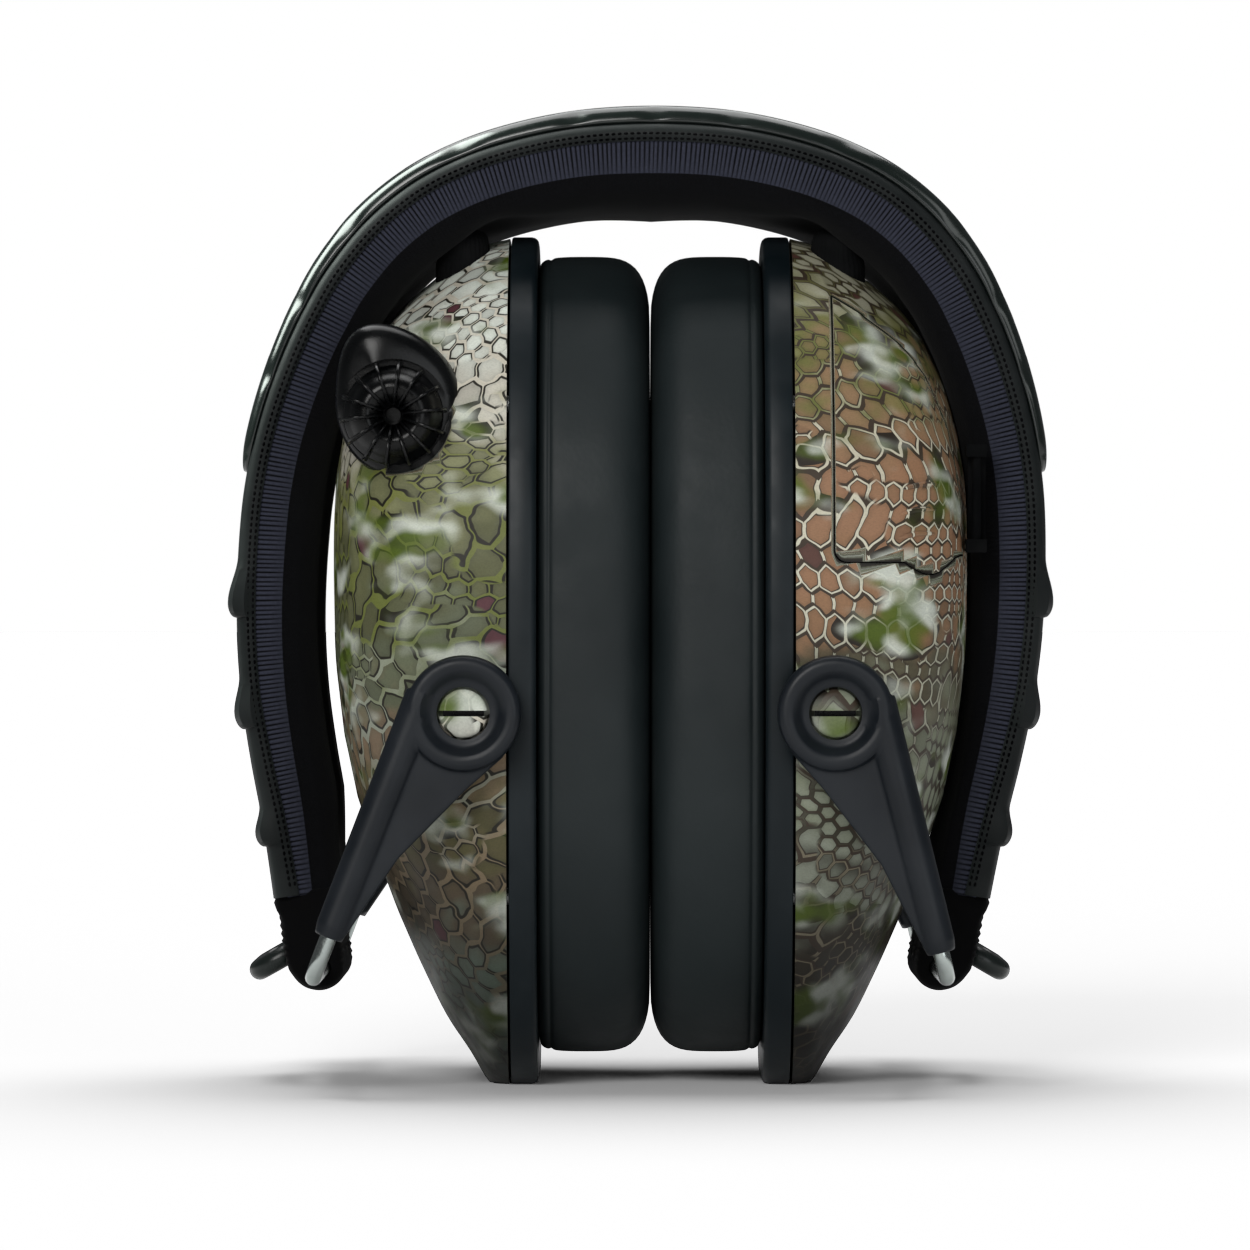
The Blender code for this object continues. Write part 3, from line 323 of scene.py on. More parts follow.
def honeycomb(n, skin, wide, tall, turn, bend, ripple):
    """Six-sided cells on a smoothly bent plane: edge distance, cell tint, cell pick, lit side."""
    soft = n.noise(skin, 0.040, 0.5, output="Color")
    fine = n.noise(skin, 0.24, 1.0, output="Color")
    bent = n.vector("MULTIPLY_ADD", soft, (bend, bend * 0.85, 0.0), skin)
    bent = n.vector("MULTIPLY_ADD", fine, (ripple, ripple, 0.0), bent)
    flat = n.add("Mapping", {"Vector": bent, "Rotation": (0.0, 0.0, turn),
                             "Scale": (1.0 / wide, 1.0 / tall, 0.0)}).outputs[0]
    half = (0.5, HEX_HEIGHT, 0.5)
    low = (-0.5, -HEX_HEIGHT, -0.5)
    one = n.vector("WRAP", flat, half, low)
    two = n.vector("WRAP", n.vector("SUBTRACT", flat, half), half, low)

    def dot(a, b):
        return n.vector("DOT_PRODUCT", a, b)

    near = n.math("LESS_THAN", dot(one, one), dot(two, two))
    local = n.add("Mix", {0: near, 4: two, 5: one}, data_type="VECTOR").outputs[1]
    size = n.vector("ABSOLUTE", local)
    reach = n.math("SMOOTH_MAX", dot(size, (0.5, HEX_HEIGHT, 0.0)), dot(size, (1.0, 0.0, 0.0)), 0.09)
    edge = n.math("SUBTRACT", 0.515, reach)
    centre = n.vector("ADD", n.vector("SUBTRACT", flat, local), (0.013, 0.013, 0.0))
    centre = n.vector("SNAP", centre, (0.05, 0.05, 1.0))
    chance = n.add("TexWhiteNoise", {"Vector": centre}, noise_dimensions="2D")
    parts = n.add("SeparateColor", {0: chance.outputs["Color"]})
    return edge, parts.outputs[0], parts.outputs[1], dot(local, (0.7, -0.7, 0.0))


def camouflage(name, cells, lines, dark, accent, spare, crowding, combs, twin, seed):
    """Printed camouflage: bent honeycombs with twin-line borders under soft colour patches, with painted
    shade towards the cup's bottom and on one side of each cell's border.
    """
    n = Nodes(name)
    skin = n.place(name="print", offset=(seed * 37.0, seed * 53.0, 0.0))
    split = n.add("SeparateXYZ", {0: n.add("Attribute", attribute_name="print").outputs["Vector"]})
    height = split.outputs[2]
    drift = n.math("MULTIPLY", n.math("SUBTRACT", n.noise(skin, 0.11, 2.0), 0.5), 34.0)
    zone = n.math("DIVIDE", n.math("ADD", height, drift), PRINT_TOP)
    ground = ramp_colours(n, zone, cells)
    line = ramp_colours(n, zone, lines)
    black = srgb(*dark)

    def painted(net, wide):
        edge, tint, chance, side = net
        cell = n.shade(ground, n.ramp(tint, 0.0, 1.0, 0.70, 1.30, "LINEAR"))
        crowd = n.ramp(n.noise(skin, 0.09, 1.0), 0.50, 0.62, 0.0, crowding)
        cell = n.mix(n.math("LESS_THAN", chance, crowd), cell, black)
        cell = n.mix(n.math("GREATER_THAN", chance, spare), cell, srgb(*accent))
        cell = n.shade(cell, n.ramp(edge, wide * 1.2, 0.42, 0.86, 1.14))
        # Painted shade: the border is drawn wider on one side of each cell, as if its raised edge were lit
        # from one side.
        thick = n.math("ADD", wide, n.math("MULTIPLY", side, wide * 0.2))
        outer = n.ramp(edge, thick, n.math("MULTIPLY", thick, 1.25))
        if twin:
            border = n.mix(n.ramp(edge, wide * 0.26, wide * 0.44), line, black)
        else:
            groove = tuple(c * 2.0 for c in black)
            border = n.mix(n.ramp(edge, wide * 0.07, wide * 0.18), groove, line)
            rim = tuple(c * 1.5 for c in black)
            border = n.mix(n.ramp(edge, wide * 0.70, wide * 0.86), border, rim)
        return n.mix(outer, border, cell)

    large, small = (honeycomb(n, skin, *comb) for comb in combs)
    choose = n.ramp(n.noise(skin, 0.075, 1.0), 0.53, 0.56)
    colour = n.mix(choose, painted(large, 0.105), painted(small, 0.125))
    veil = n.ramp(n.noise(skin, 0.09, 2.0), 0.51, 0.67)
    haze = n.mix(n.ramp(n.noise(skin, 0.14, 1.5), 0.42, 0.58), srgb(84, 104, 22), srgb(218, 224, 212))
    colour = n.mix(n.math("MULTIPLY", veil, 0.85), colour, haze)
    # Painted shade: the print darkens towards the bottom of the cup, where the shell turns away from the
    # light.
    colour = n.shade(colour, n.ramp(height, 2.0, 44.0, 0.18, 1.0))
    colour = n.shade(colour, n.ramp(n.noise(skin, 3.4, 3.0, 0.7), 0.3, 0.75, 0.86, 1.08))
    fine = n.noise(n.place(), 5000.0, 3.0, 0.6)
    gloss = n.ramp(n.noise(n.place(), 300.0, 3.0), 0.3, 0.7, 0.46, 0.56)
    return n.surface(colour, gloss, normal=n.bump(fine, 0.08, 0.00008), specular=0.3)


LOOKS = {
    "cover": moulded("cover_strip", (0.0036, 0.0052, 0.0054), 0.5, specular=0.16),
    "bumper": moulded("glossy_rubber", (0.003, 0.006, 0.005), 0.2, bump=0.03, specular=0.6, wear=0.1),
    "loop": moulded("loop_rubber", (0.008, 0.012, 0.011), 0.3, specular=0.35),
    "arm": moulded("satin_arm", (0.0055, 0.0078, 0.0112), 0.42, bump=0.1, specular=0.28),
    "bezel": moulded("bezel_plastic", (0.0045, 0.0085, 0.0110), 0.42, bump=0.08, specular=0.22),
    "black": moulded("black_plastic", (0.0012, 0.0015, 0.0018), 0.27, specular=0.24, wear=0.1),
    "dull": moulded("dull_black", (0.0015, 0.0017, 0.0020), 0.8, specular=0.05, wear=0.1),
    "thread": moulded("thread", (0.0010, 0.0010, 0.0014), 0.9, specular=0.02, wear=0.1),
    # The pleats' grooves carry painted shade.
    "pleats": knit("pleated_fabric", (0.0012, 0.0012, 0.0022), (0.046, 0.050, 0.074), 0.45, True),
    "inner": knit("inner_fabric", (0.0010, 0.0011, 0.0016), (0.0030, 0.0032, 0.0045)),
    "foam": moulded("open_foam", (0.0020, 0.0022, 0.0025), 0.95, grain=1600.0, bump=0.9, specular=0.1),
    "wire": bright_metal("bright_wire", (0.50, 0.55, 0.53), 0.18),
    "steel": bright_metal("spring_steel", (0.50, 0.52, 0.52), 0.3),
    "brass": bright_metal("contact_brass", (0.70, 0.50, 0.22), 0.3),
    "board": moulded("board_laminate", (0.015, 0.12, 0.05), 0.4),
    "cushion": leatherette(),
}
LEFT_CAMO = camouflage(
    "camouflage_left",
    [(0, (70, 84, 74)), (14, (104, 118, 104)), (24, (92, 80, 62)), (36, (88, 84, 52)),
     (46, (132, 112, 88)), (56, (104, 110, 86)), (66, (96, 98, 66)), (78, (132, 134, 96)),
     (88, (206, 202, 188)), (104, (226, 232, 222))],
    [(0, (84, 92, 76)), (30, (128, 112, 88)), (50, (150, 156, 140)), (62, (104, 112, 52)),
     (78, (116, 120, 64)), (90, (206, 200, 184))],
    (30, 27, 16), (88, 50, 56), 0.965, 0.22,
    ((3.9, 4.9, 0.35, 17.0, 2.4), (2.5, 2.8, -0.2, 13.0, 1.8)), True, 1.0)
RIGHT_CAMO = camouflage(
    "camouflage_right",
    [(0, (40, 40, 32)), (18, (58, 52, 40)), (30, (150, 156, 140)), (42, (128, 134, 112)),
     (52, (92, 86, 66)), (62, (150, 114, 84)), (74, (156, 118, 90)), (88, (148, 120, 90)),
     (98, (118, 118, 66)), (108, (176, 174, 152))],
    [(0, (104, 92, 72)), (20, (132, 124, 104)), (36, (60, 58, 46)), (52, (172, 172, 152)),
     (66, (214, 210, 190)), (84, (204, 198, 176)), (94, (108, 112, 60)), (108, (96, 92, 60))],
    (44, 36, 28), (92, 62, 54), 0.97, 0.5,
    ((3.3, 5.0, 0.0, 12.0, 1.6), (2.1, 2.5, 0.1, 9.0, 1.2)), False, 4.0)


# ---- mesh helpers

def write_vectors(made, key, values):
    """Stores three numbers per vertex for the materials to read."""
    layer = made.data.attributes.new(key, "FLOAT_VECTOR", "POINT")
    layer.data.foreach_set("vector", np.asarray(values, np.float32).ravel())


def read_vertices(made):
    co = np.empty(len(made.data.vertices) * 3)
    made.data.vertices.foreach_get("co", co)
    return co.reshape(-1, 3)


def write_vertices(made, co):
    made.data.vertices.foreach_set("co", co.ravel())
    made.data.update()


def settle(made, body, node=None):
    """Tells the frame about one visible piece."""
    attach(made, body)
    if node:
        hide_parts(node)


def piece(name, vertices, faces, looks, smooth=True, face_looks=None, skin=None):
    """Mesh object from millimetre vertices."""
    mesh = bpy.data.meshes.new(name)
    points = np.asarray(vertices, float) * MM
    mesh.from_pydata(points.tolist(), [], [list(map(int, f)) for f in faces])
    made = bpy.data.objects.new(name, mesh)
    bpy.context.scene.collection.objects.link(made)
    for look in looks:
        mesh.materials.append(LOOKS[look] if isinstance(look, str) else look)
    if face_looks is not None:
        mesh.polygons.foreach_set("material_index", np.asarray(face_looks, np.int32))
    if skin:
        write_vectors(made, *skin)
    if smooth:
        mesh.shade_smooth()
    mesh.validate()
    mesh.update()
    bm = bmesh.new()
    bm.from_mesh(mesh)
    bmesh.ops.recalc_face_normals(bm, faces=bm.faces)
    bm.to_mesh(mesh)
    bm.free()
    return made


def grid_faces(rows, columns, closed=False):
    """Quads between neighbouring rings."""
    faces = []
    for i in range(rows if closed else rows - 1):
        a = i * columns
        b = ((i + 1) % rows) * columns
        for j in range(columns):
            k = (j + 1) % columns
            faces.append((a + j, a + k, b + k, b + j))
    return faces


def basis(axis):
    """Unit axis and two directions square to it."""
    a = np.array(axis, float)
    a /= np.linalg.norm(a)
    helper = np.array((0.0, 0.0, 1.0)) if abs(a[2]) < 0.9 else np.array((1.0, 0.0, 0.0))
    u = np.cross(helper, a)
    u /= np.linalg.norm(u)
    return a, u, np.cross(a, u)


def ring_face(row, columns):
    return list(range(row * columns, (row + 1) * columns))


def capped(rows, columns):
    """Quads between the rings of a loft, and a cap on each end."""
    return grid_faces(rows, columns) + [ring_face(0, columns), ring_face(rows - 1, columns)]


def circle(count):
    return [2 * pi * i / count for i in range(count)]


def turned(name, profile, base, axis, look, segments=96, flutes=0.0):
    """Solid of revolution from (radius, height) pairs, with faint flutes if asked."""
    a, u, v = basis(axis)
    base = np.array(base, float)
    points = []
    for radius, height in profile:
        for t in circle(segments):
            r = radius + flutes * cos(POD_FLUTES * t) * min(1.0, radius / 3.0)
            points.append(base + a * height + r * (u * cos(t) + v * sin(t)))
    return piece(name, points, capped(len(profile), segments), [look])


def swept(name, path, radii, look, segments=20, closed=False):
    """Bar along a path, with one radius or its own radius at each point."""
    points = np.array(path, float)
    count = len(points)
    if closed:
        tangents = np.roll(points, -1, axis=0) - np.roll(points, 1, axis=0)
    else:
        tangents = np.vstack([points[1:], points[-1:]]) - np.vstack([points[:1], points[:-1]])
    tangents /= np.linalg.norm(tangents, axis=1)[:, None]
    normal = basis(tangents[0])[1]
    rows = []
    for i in range(count):
        normal = normal - tangents[i] * np.dot(normal, tangents[i])
        normal /= np.linalg.norm(normal)
        other = np.cross(tangents[i], normal)
        radius = radii if np.isscalar(radii) else radii[i]
        rows += [points[i] + radius * (normal * cos(t) + other * sin(t)) for t in circle(segments)]
    faces = grid_faces(count, segments, closed=True) if closed else capped(count, segments)
    return piece(name, rows, faces, [look])


def ring_loft(name, rings, look):
    """Closed tube of equal rings: the last one joins the first."""
    return piece(name, np.vstack(rings), grid_faces(len(rings), len(rings[0]), closed=True), [look])


def discard(made):
    """Removes an object and its mesh."""
    mesh = made.data
    bpy.data.objects.remove(made)
    bpy.data.meshes.remove(mesh)


def join_all(name, parts):
    """One object from several."""
    bm = bmesh.new()
    for part in parts:
        bm.from_mesh(part.data)
    target = parts[0]
    for part in parts[1:]:
        discard(part)
    bm.to_mesh(target.data)
    bm.free()
    target.name = name
    target.data.name = name
    return target


def apply_all(target):
    """Bakes the object's modifiers into its mesh."""
    bpy.context.view_layer.update()
    ready = target.evaluated_get(bpy.context.evaluated_depsgraph_get())
    mesh = bpy.data.meshes.new_from_object(ready)
    target.modifiers.clear()
    old = target.data
    target.data = mesh
    bpy.data.meshes.remove(old)
    mesh.name = target.name
    return target


def fuse(target, size):
    """Melts overlapping closed shapes into one with soft fillets."""
    remesh = target.modifiers.new("melt", "REMESH")
    remesh.mode = "VOXEL"
    remesh.voxel_size = size * MM
    soften = target.modifiers.new("soften", "SMOOTH")
    soften.factor = 0.5
    soften.iterations = 3
    apply_all(target)
    target.data.shade_smooth()


def carve(target, *tools, operation="DIFFERENCE"):
    """Cuts with closed tools, whose material goes on the cut walls."""
    for tool in tools:
        step = target.modifiers.new("carve", "BOOLEAN")
        step.operation = operation
        step.solver = "EXACT"
        step.material_mode = "TRANSFER"
        step.object = tool
        apply_all(target)
        discard(tool)
    return target


def sharpen(target, degrees):
    """Smooth shading with sharp edges above an angle."""
    target.data.shade_smooth()
    target.data.set_sharp_from_angle(angle=radians(degrees))
    return target


def read(table, share):
    """Value of a table of pairs, straight between its rows."""
    xs, ys = zip(*table)
    return float(np.interp(share, xs, ys))


def cup_x(side, depth):
    """World X at a depth into a cup from the plane where the cushions meet."""
    return CONTACT_X + side * depth


def band_xz(side, across, up):
    """World X and Z of a point given for the upright, symmetrical headband."""
    return side * across + BAND_SHIFT + BAND_SHEAR * (up - BAND_SHEAR_Z), up


# ---- headband line

def curve_between(p0, p1, p2, p3, steps):
    """Points of the smooth curve from p1 up to p2."""
    return [0.5 * (2 * p1 + (p2 - p0) * t + (2 * p0 - 5 * p1 + 4 * p2 - p3) * t ** 2
                   + (3 * p1 - p0 - 3 * p2 + p3) * t ** 3)
            for t in np.linspace(0.0, 1.0, steps, endpoint=False)]


def smooth_line(knots, count=1200):
    """Evenly spaced points through the knots, mirrored at the crown, and the length."""
    pts = np.array(knots, float)
    full = np.vstack([pts[1] * (-1.0, 1.0), pts, 2 * pts[-1] - pts[-2]])
    made = []
    for i in range(1, len(full) - 2):
        made += curve_between(*full[i - 1:i + 3], 24)
    made.append(pts[-1])
    line = np.array(made)
    length = np.r_[0.0, np.cumsum(np.linalg.norm(np.diff(line, axis=0), axis=1))]
    even = np.linspace(0.0, length[-1], count)
    out = np.column_stack([np.interp(even, length, line[:, i]) for i in (0, 1)])
    return out, length[-1]


def smooth_slopes(line, reach=40):
    """Unit tangents of the line, softened over its neighbours and mirrored at the crown."""
    slopes = np.gradient(line, axis=0)
    slopes[0] = (1.0, 0.0)
    kernel = np.hanning(reach + 1) / np.hanning(reach + 1).sum()
    padded = np.vstack([slopes[reach:0:-1] * (1.0, -1.0), slopes, np.repeat(slopes[-1:], reach, axis=0)])
    soft = [np.convolve(padded[:, i], kernel, "same")[reach:reach + len(line)] for i in (0, 1)]
    slopes = np.column_stack(soft)
    return slopes / np.linalg.norm(slopes, axis=1)[:, None]


HALF_LINE, HALF_LENGTH = smooth_line(BAND_HALF)
SLOPES = smooth_slopes(HALF_LINE)


def band_at(side, share, inwards):
    """World X and Z at a share of the half length, moved inwards from the cover's face."""
    place = np.clip(share, 0.0, 1.0) * (len(HALF_LINE) - 1)
    i = int(min(place, len(HALF_LINE) - 2))
    t = place - i
    here = HALF_LINE[i] * (1 - t) + HALF_LINE[i + 1] * t
    along = SLOPES[i] * (1 - t) + SLOPES[i + 1] * t
    inner = here + inwards * np.array((along[1], -along[0]))
    return band_xz(side, inner[0], inner[1])


def share_at(z):
    """Share of the half length where the band's line passes a height."""
    order = np.argsort(HALF_LINE[:, 1])
    return float(np.interp(z, HALF_LINE[order, 1], order)) / (len(HALF_LINE) - 1)


def band_piece(name, side, shares, outline, looks, zones=None, start_cap=False):
    """Skins one half of a headband layer: outline(share) gives [(y, inwards, fold height), ...]; the optional
    fold height goes on the skin and sets the painted shade in the folds.
    """
    rows = []
    skin = []
    for share in shares:
        section = outline(share)
        before = section[0]
        run = 0.0
        for y, inwards, *fold_shade_mask in section:
            x, z = band_at(side, share, inwards)
            rows.append((x, y, z))
            run += hypot(y - before[0], inwards - before[1])
            before = (y, inwards)
            skin.append((share * HALF_LENGTH, run, fold_shade_mask[0] if fold_shade_mask else 1.0))
    count, columns = len(shares), len(section)
    faces = grid_faces(count, columns) + [ring_face(count - 1, columns)]
    if start_cap:
        faces.append(ring_face(0, columns))
    kinds = zones * (count - 1) + [0] if zones else None
    return piece(name, rows, faces, looks, face_looks=kinds, skin=("skin", skin))


# ---- headband layers

def pleat(distance):
    """Height of the gathers along the band, 0 to 1: uneven folds about 0.6 mm apart."""
    wobble = 0.35 * sin(distance * 0.71) + 0.25 * sin(distance * 1.93 + 1.0)
    return abs(sin(pi * (distance / PLEAT_PITCH + 0.28 * wobble))) ** 0.75


def pod_dent(share, y):
    """Hollow that each windscreen presses in the front edge of the pad."""
    across = share * HALF_LENGTH
    return 1.6 * exp(-((across - 24.0) / 5.5) ** 2) * exp(-((y - POD_Y) / 6.0) ** 2)


def pad_edge(side, share):
    """Thickness near the pad's front and rear edges, where it swells past the cups."""
    table = PAD_EDGE_RIGHT if side > 0 else PAD_EDGE_LEFT
    return max(read(PAD_THICKNESS, share), read(table, share))


def pad_outline(side, share):
    """Section of the pad: pleated side walls and a smooth cushioned inner face."""
    half = read(PAD_HALF_WIDTH, share)
    deep = read(PAD_THICKNESS, share)
    swell_deep = pad_edge(side, share)
    wall = read(PAD_WALL_DEPTH, share)
    fold = pleat(share * HALF_LENGTH)
    ease = 1.0 if share < 0.93 else max(0.0, (0.95 - share) / 0.02)
    unevenness = 0.75 + 0.25 * sin(share * 61.0) * sin(share * 143.0)
    strength = 0.30 * unevenness * (0.3 + 0.7 * ease)
    # The third value is the fold height, 1 on the crests; the cloth paints shade into the low folds from it.
    one = [(half - 4.0, PAD_TOP, 1.0), (half - 1.2, PAD_TOP, 1.0)]
    for t in PAD_WALL_STEPS:
        roll = 1.1 * max(0.0, (t - 0.45) / 0.55) ** 2
        weight = min(1.0, 0.35 + 4.0 * t) * (1.0 - 0.6 * t ** 3)
        y = half - 0.35 - roll + strength * (fold - 0.6) * weight
        one.append((y, PAD_TOP + 0.3 + (wall - PAD_TOP - 0.3) * t, 1.0 - (1.0 - fold) * weight))
    for p in PAD_FACE_STEPS:
        rise = max(0.0, 1 - ((p - 0.2) / 0.76) ** 2.8 if p > 0.2 else 1.0) ** 0.5
        level = deep + (swell_deep - deep) * exp(-((p - 0.74) / 0.2) ** 2)
        one.append((half * p, wall + (level - wall) * rise, 1.0))
    front = [(-y, z - (pod_dent(share, -y) if z > wall else 0.0), g) for y, z, g in reversed(one)]
    return one + [(0.0, deep, 1.0)] + front


def make_pad(side, word):
    count = int(HALF_LENGTH * BAND_END / PLEAT_PITCH * 6)
    pleated = [1] * (len(PAD_WALL_STEPS) + 1)
    plain = [0] * (len(PAD_FACE_STEPS) + 1)
    made = band_piece(word + "_headband_pad", side, np.linspace(0.0, BAND_END + 0.004, count),
                      lambda share: pad_outline(side, share), ["inner", "pleats"],
                      pleated + plain + [0] + plain + pleated)
    return made


def rib_height(share):
    for top, crest, foot in RIBS:
        a, b, c = share_at(top), share_at(crest), share_at(foot)
        if a < share < b:
            t = (share - a) / (b - a)
            return RIB_HEIGHT * t * t * (3 - 2 * t)
        if b <= share < c:
            t = (c - share) / (c - b)
            return RIB_HEIGHT * sqrt(max(0.0, 1 - (1 - t) ** 2))
    return 0.0


def cover_outline(share):
    """Strip that wraps the outer corner and ends in a rolled lip on each side."""
    half = read(PAD_HALF_WIDTH, share)
    rise = rib_height(share) + COVER_OUTSET
    drop = cover_drop(share)
    reach = 0.2 + 0.35 * rise
    one = [(half * 0.5, -rise), (half - 2.2, -rise), (half - 1.1, -rise + 0.12),
           (half - 0.3 + reach * 0.6, -rise * 0.9 + 0.55), (half + reach, 0.2 - rise * 0.35 + 1.0),
           (half + 0.2, drop - 0.25), (half + 0.05, drop), (half - 0.5, drop), (half - 0.9, 1.5),
           (half - 2.0, 1.15)]
    return [(-y, z) for y, z in reversed(one)] + one


def make_cover(side, word):
    marks = list(np.linspace(0.0, BAND_END + 0.003, 170))
    for top, crest, foot in RIBS:
        marks += list(np.linspace(share_at(top), share_at(crest), 10))
        marks += list(np.linspace(share_at(crest), share_at(foot), 14))
    made = band_piece(word + "_cover_strip", side, sorted(set(marks)), cover_outline, ["cover"])
    return sharpen(made, 40.0)


def cover_drop(share):
    """How far the cover strip's lip reaches down the pad's side wall."""
    return 2.1 + 0.9 * max(0.0, (share - 0.75) / 0.2)


def bumper_outline(share):
    """Section of the crown pad: rounded edges with lugs and a slightly domed, dimpled face."""
    left = (BUMPER_END - share) / BUMPER_TAPER
    ease = sqrt(max(0.0, 1 - (1 - min(left, 1.0)) ** 2)) if left < 1 else 1.0
    half = (read(PAD_HALF_WIDTH, share) - 0.7) * (0.9 + 0.1 * ease)
    thick = read(BUMPER_THICKNESS, share) * (0.4 + 0.6 * ease)
    base = 0.1 - COVER_OUTSET
    one = []
    for t in np.linspace(0.0, 1.0, 8):
        angle = t * pi / 2
        y = half - 2.2 * (1 - cos(angle)) - lug(share) * sin(2 * angle)
        one.append((y, base - thick * sin(angle)))
    for p in (0.86, 0.8, 0.72, 0.64, 0.56, 0.48, 0.4, 0.3, 0.2, 0.1):
        y = half * p
        one.append((y, base - thick - 0.25 * (1 - p ** 2) + dimple(share, y) * ease))
    middle = (0.0, base - thick - 0.25 + dimple(share, 0.0))
    return one + [middle] + [(-y, z) for y, z in reversed(one)]


def lug(share):
    """Plain wave in the bumper's front and rear edges."""
    distance = share * HALF_LENGTH
    wave = 0.5 + 0.5 * cos(2 * pi * (distance + 3.0 * sin(distance * 0.11)) / 13.0)
    return 0.42 * wave ** 5 * (1.0 if distance < 74.0 else 0.0)


def dimple(share, y):
    """Shallow plain recesses across the crown, in two rows of slanted bars."""
    distance = share * HALF_LENGTH
    if distance < 6.0 or distance > 62.0:
        return 0.0
    phase = (distance - 0.35 * y) / 8.0
    bar = 0.5 - 0.5 * cos(2 * pi * phase)
    across = max(0.0, 1.0 - (abs(abs(y) - 12.5) / 8.5) ** 4)
    return 0.5 * across * max(0.0, bar - 0.35) / 0.65


def make_bumper(side, word):
    curl = 1 - np.sin(np.linspace(0.02, 1.0, 16) * pi / 2)
    shares = list(np.linspace(0.0, BUMPER_END - BUMPER_TAPER, 200))
    shares += list(BUMPER_END - BUMPER_TAPER * curl)
    return band_piece(word + "_crown_bumper", side, shares, bumper_outline, ["bumper"])


def make_stitches(side, word):
    """Two rows of short thread stitches along both edges of the cover strip."""
    points = []
    faces = []
    for i in range(int(HALF_LENGTH * (BAND_END - 0.004) / STITCH_PITCH)):
        share = (i + 0.5) * STITCH_PITCH / HALF_LENGTH
        half = read(PAD_HALF_WIDTH, share)
        for sign, row, lift in ((-1, 0.34, 0.2), (1, 0.34, 0.2), (-1, 1.0, 0.38), (1, 1.0, 0.38)):
            base = len(points)
            drop = cover_drop(share) - row
            for along, size in STITCH:
                for t in circle(STITCH_SIDES):
                    x, z = band_at(side, share + along / HALF_LENGTH, drop + size * cos(t))
                    points.append((x, sign * (half + lift + size * sin(t)), z))
            tube = grid_faces(len(STITCH), STITCH_SIDES)
            faces += [[base + corner for corner in face] for face in tube]
    return piece(word + "_stitches", points, faces, ["thread"],
                 skin=("skin", [(point[2], point[1], 0.0) for point in points]))


def make_spring(side, word):
    outline = [(-7.0, 1.55), (7.0, 1.55), (7.0, 2.55), (-7.0, 2.55)]
    made = band_piece(word + "_spring_band", side, np.linspace(0.0, share_at(SPRING_END_Z), 90),
                      lambda share: outline, ["steel"], start_cap=True)
    return sharpen(made, 30.0)


def make_headband():
    """Both halves of each layer, built in place, with the imported headband solids hidden."""
    covered = {"headband_pad": [], "headband_cover": [], "crown_bumper": [], "spring_band": []}
    layers = (("headband_pad", make_pad, "fabric"), ("headband_cover", make_cover, "cover"),
              ("headband_cover", make_stitches, "fabric"), ("crown_bumper", make_bumper, "bumper"),
              ("spring_band", make_spring, "steel"))
    for side, word in SIDES:
        for node, build, slot in layers:
            made = build(side, word)
            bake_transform(made)
            covered[node].append(made)
    for node, pieces in covered.items():
        for made in pieces:
            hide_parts(node)


# ---- ends of the headband

def hinge_point(side):
    """World X and Z of the pin that the wire turns on."""
    return band_xz(side, HINGE_ACROSS, HINGE_Z)


def cap_outline(side):
    """Closed line round the band's foot, from the cover's face to the pad's face."""
    foot = [(45.75, 21.5), (45.3, 18.5), (45.0, 16.6), (44.4, 14.9), (43.5, 13.6), (42.3, 12.6),
            (40.9, 12.15), (39.6, 12.2), (38.4, 12.75), (37.55, 13.7), (37.2, 15.0), (37.35, 16.8),
            (37.8, 19.5)]
    start = BAND_END + 0.002
    points = [band_at(side, start, 0.15)]
    points += [band_xz(side, across, up) for across, up in foot]
    return points + [band_at(side, start, read(PAD_THICKNESS, BAND_END) * 0.97)]


def spline_loop(points, steps):
    """Closed smooth line through the points, its corners kept soft."""
    pts = np.array(points, float)
    count = len(pts)
    made = []
    for i in range(count):
        made += curve_between(pts[i - 1], pts[i], pts[(i + 1) % count], pts[(i + 2) % count], steps)
    return np.array(made)


def make_end_cap(side, word):
    """Gathered fabric foot: folds run round it above the hinge."""
    line = spline_loop(cap_outline(side), 6)
    centre = line.mean(axis=0)
    rows = []
    skin = []
    ends = [(1.0, 0.80), (0.985, 0.90), (0.95, 0.96), (0.9, 0.99)]
    levels = [(-y, inset) for y, inset in ends]
    levels += [(y, 1.0) for y in np.linspace(-0.85, 0.85, 60)] + ends[::-1]
    for y, inset in levels:
        for x, z in line:
            fold = sin(2 * pi * (z + 0.25 * sin(y * 9.0)) / 0.95)
            height = min(1.0, max(0.0, (z - 14.5) / 2.0))
            bulge = 0.16 * fold * height + 0.10 * sin(y * 47.0 + z) * (1 - height)
            away = np.array((x, z)) - centre
            away /= max(np.linalg.norm(away), 1e-6)
            px = centre[0] + (x - centre[0]) * inset + away[0] * bulge
            pz = centre[1] + (z - centre[1]) * inset + away[1] * bulge * 0.3
            rows.append((px, y * FOOT_HALF_WIDTH, pz))
            # A third value of 0 gives the whole foot the pleats' painted fold shade, their darkest colour.
            skin.append((z, y * FOOT_HALF_WIDTH + x, 0.0))
    made = piece(word + "_end_foot", rows, capped(len(levels), len(line)), ["pleats"],
                 skin=("skin", skin))
    hx, hz = hinge_point(side)
    carve(made, turned("tool", [(1.25, 0.0), (1.25, 40.0)], (hx, -20.0, hz), (0, 1, 0), "pleats", 32))
    sharpen(made, 60.0)
    settle(made, word + "_side", word + "_end_cap")


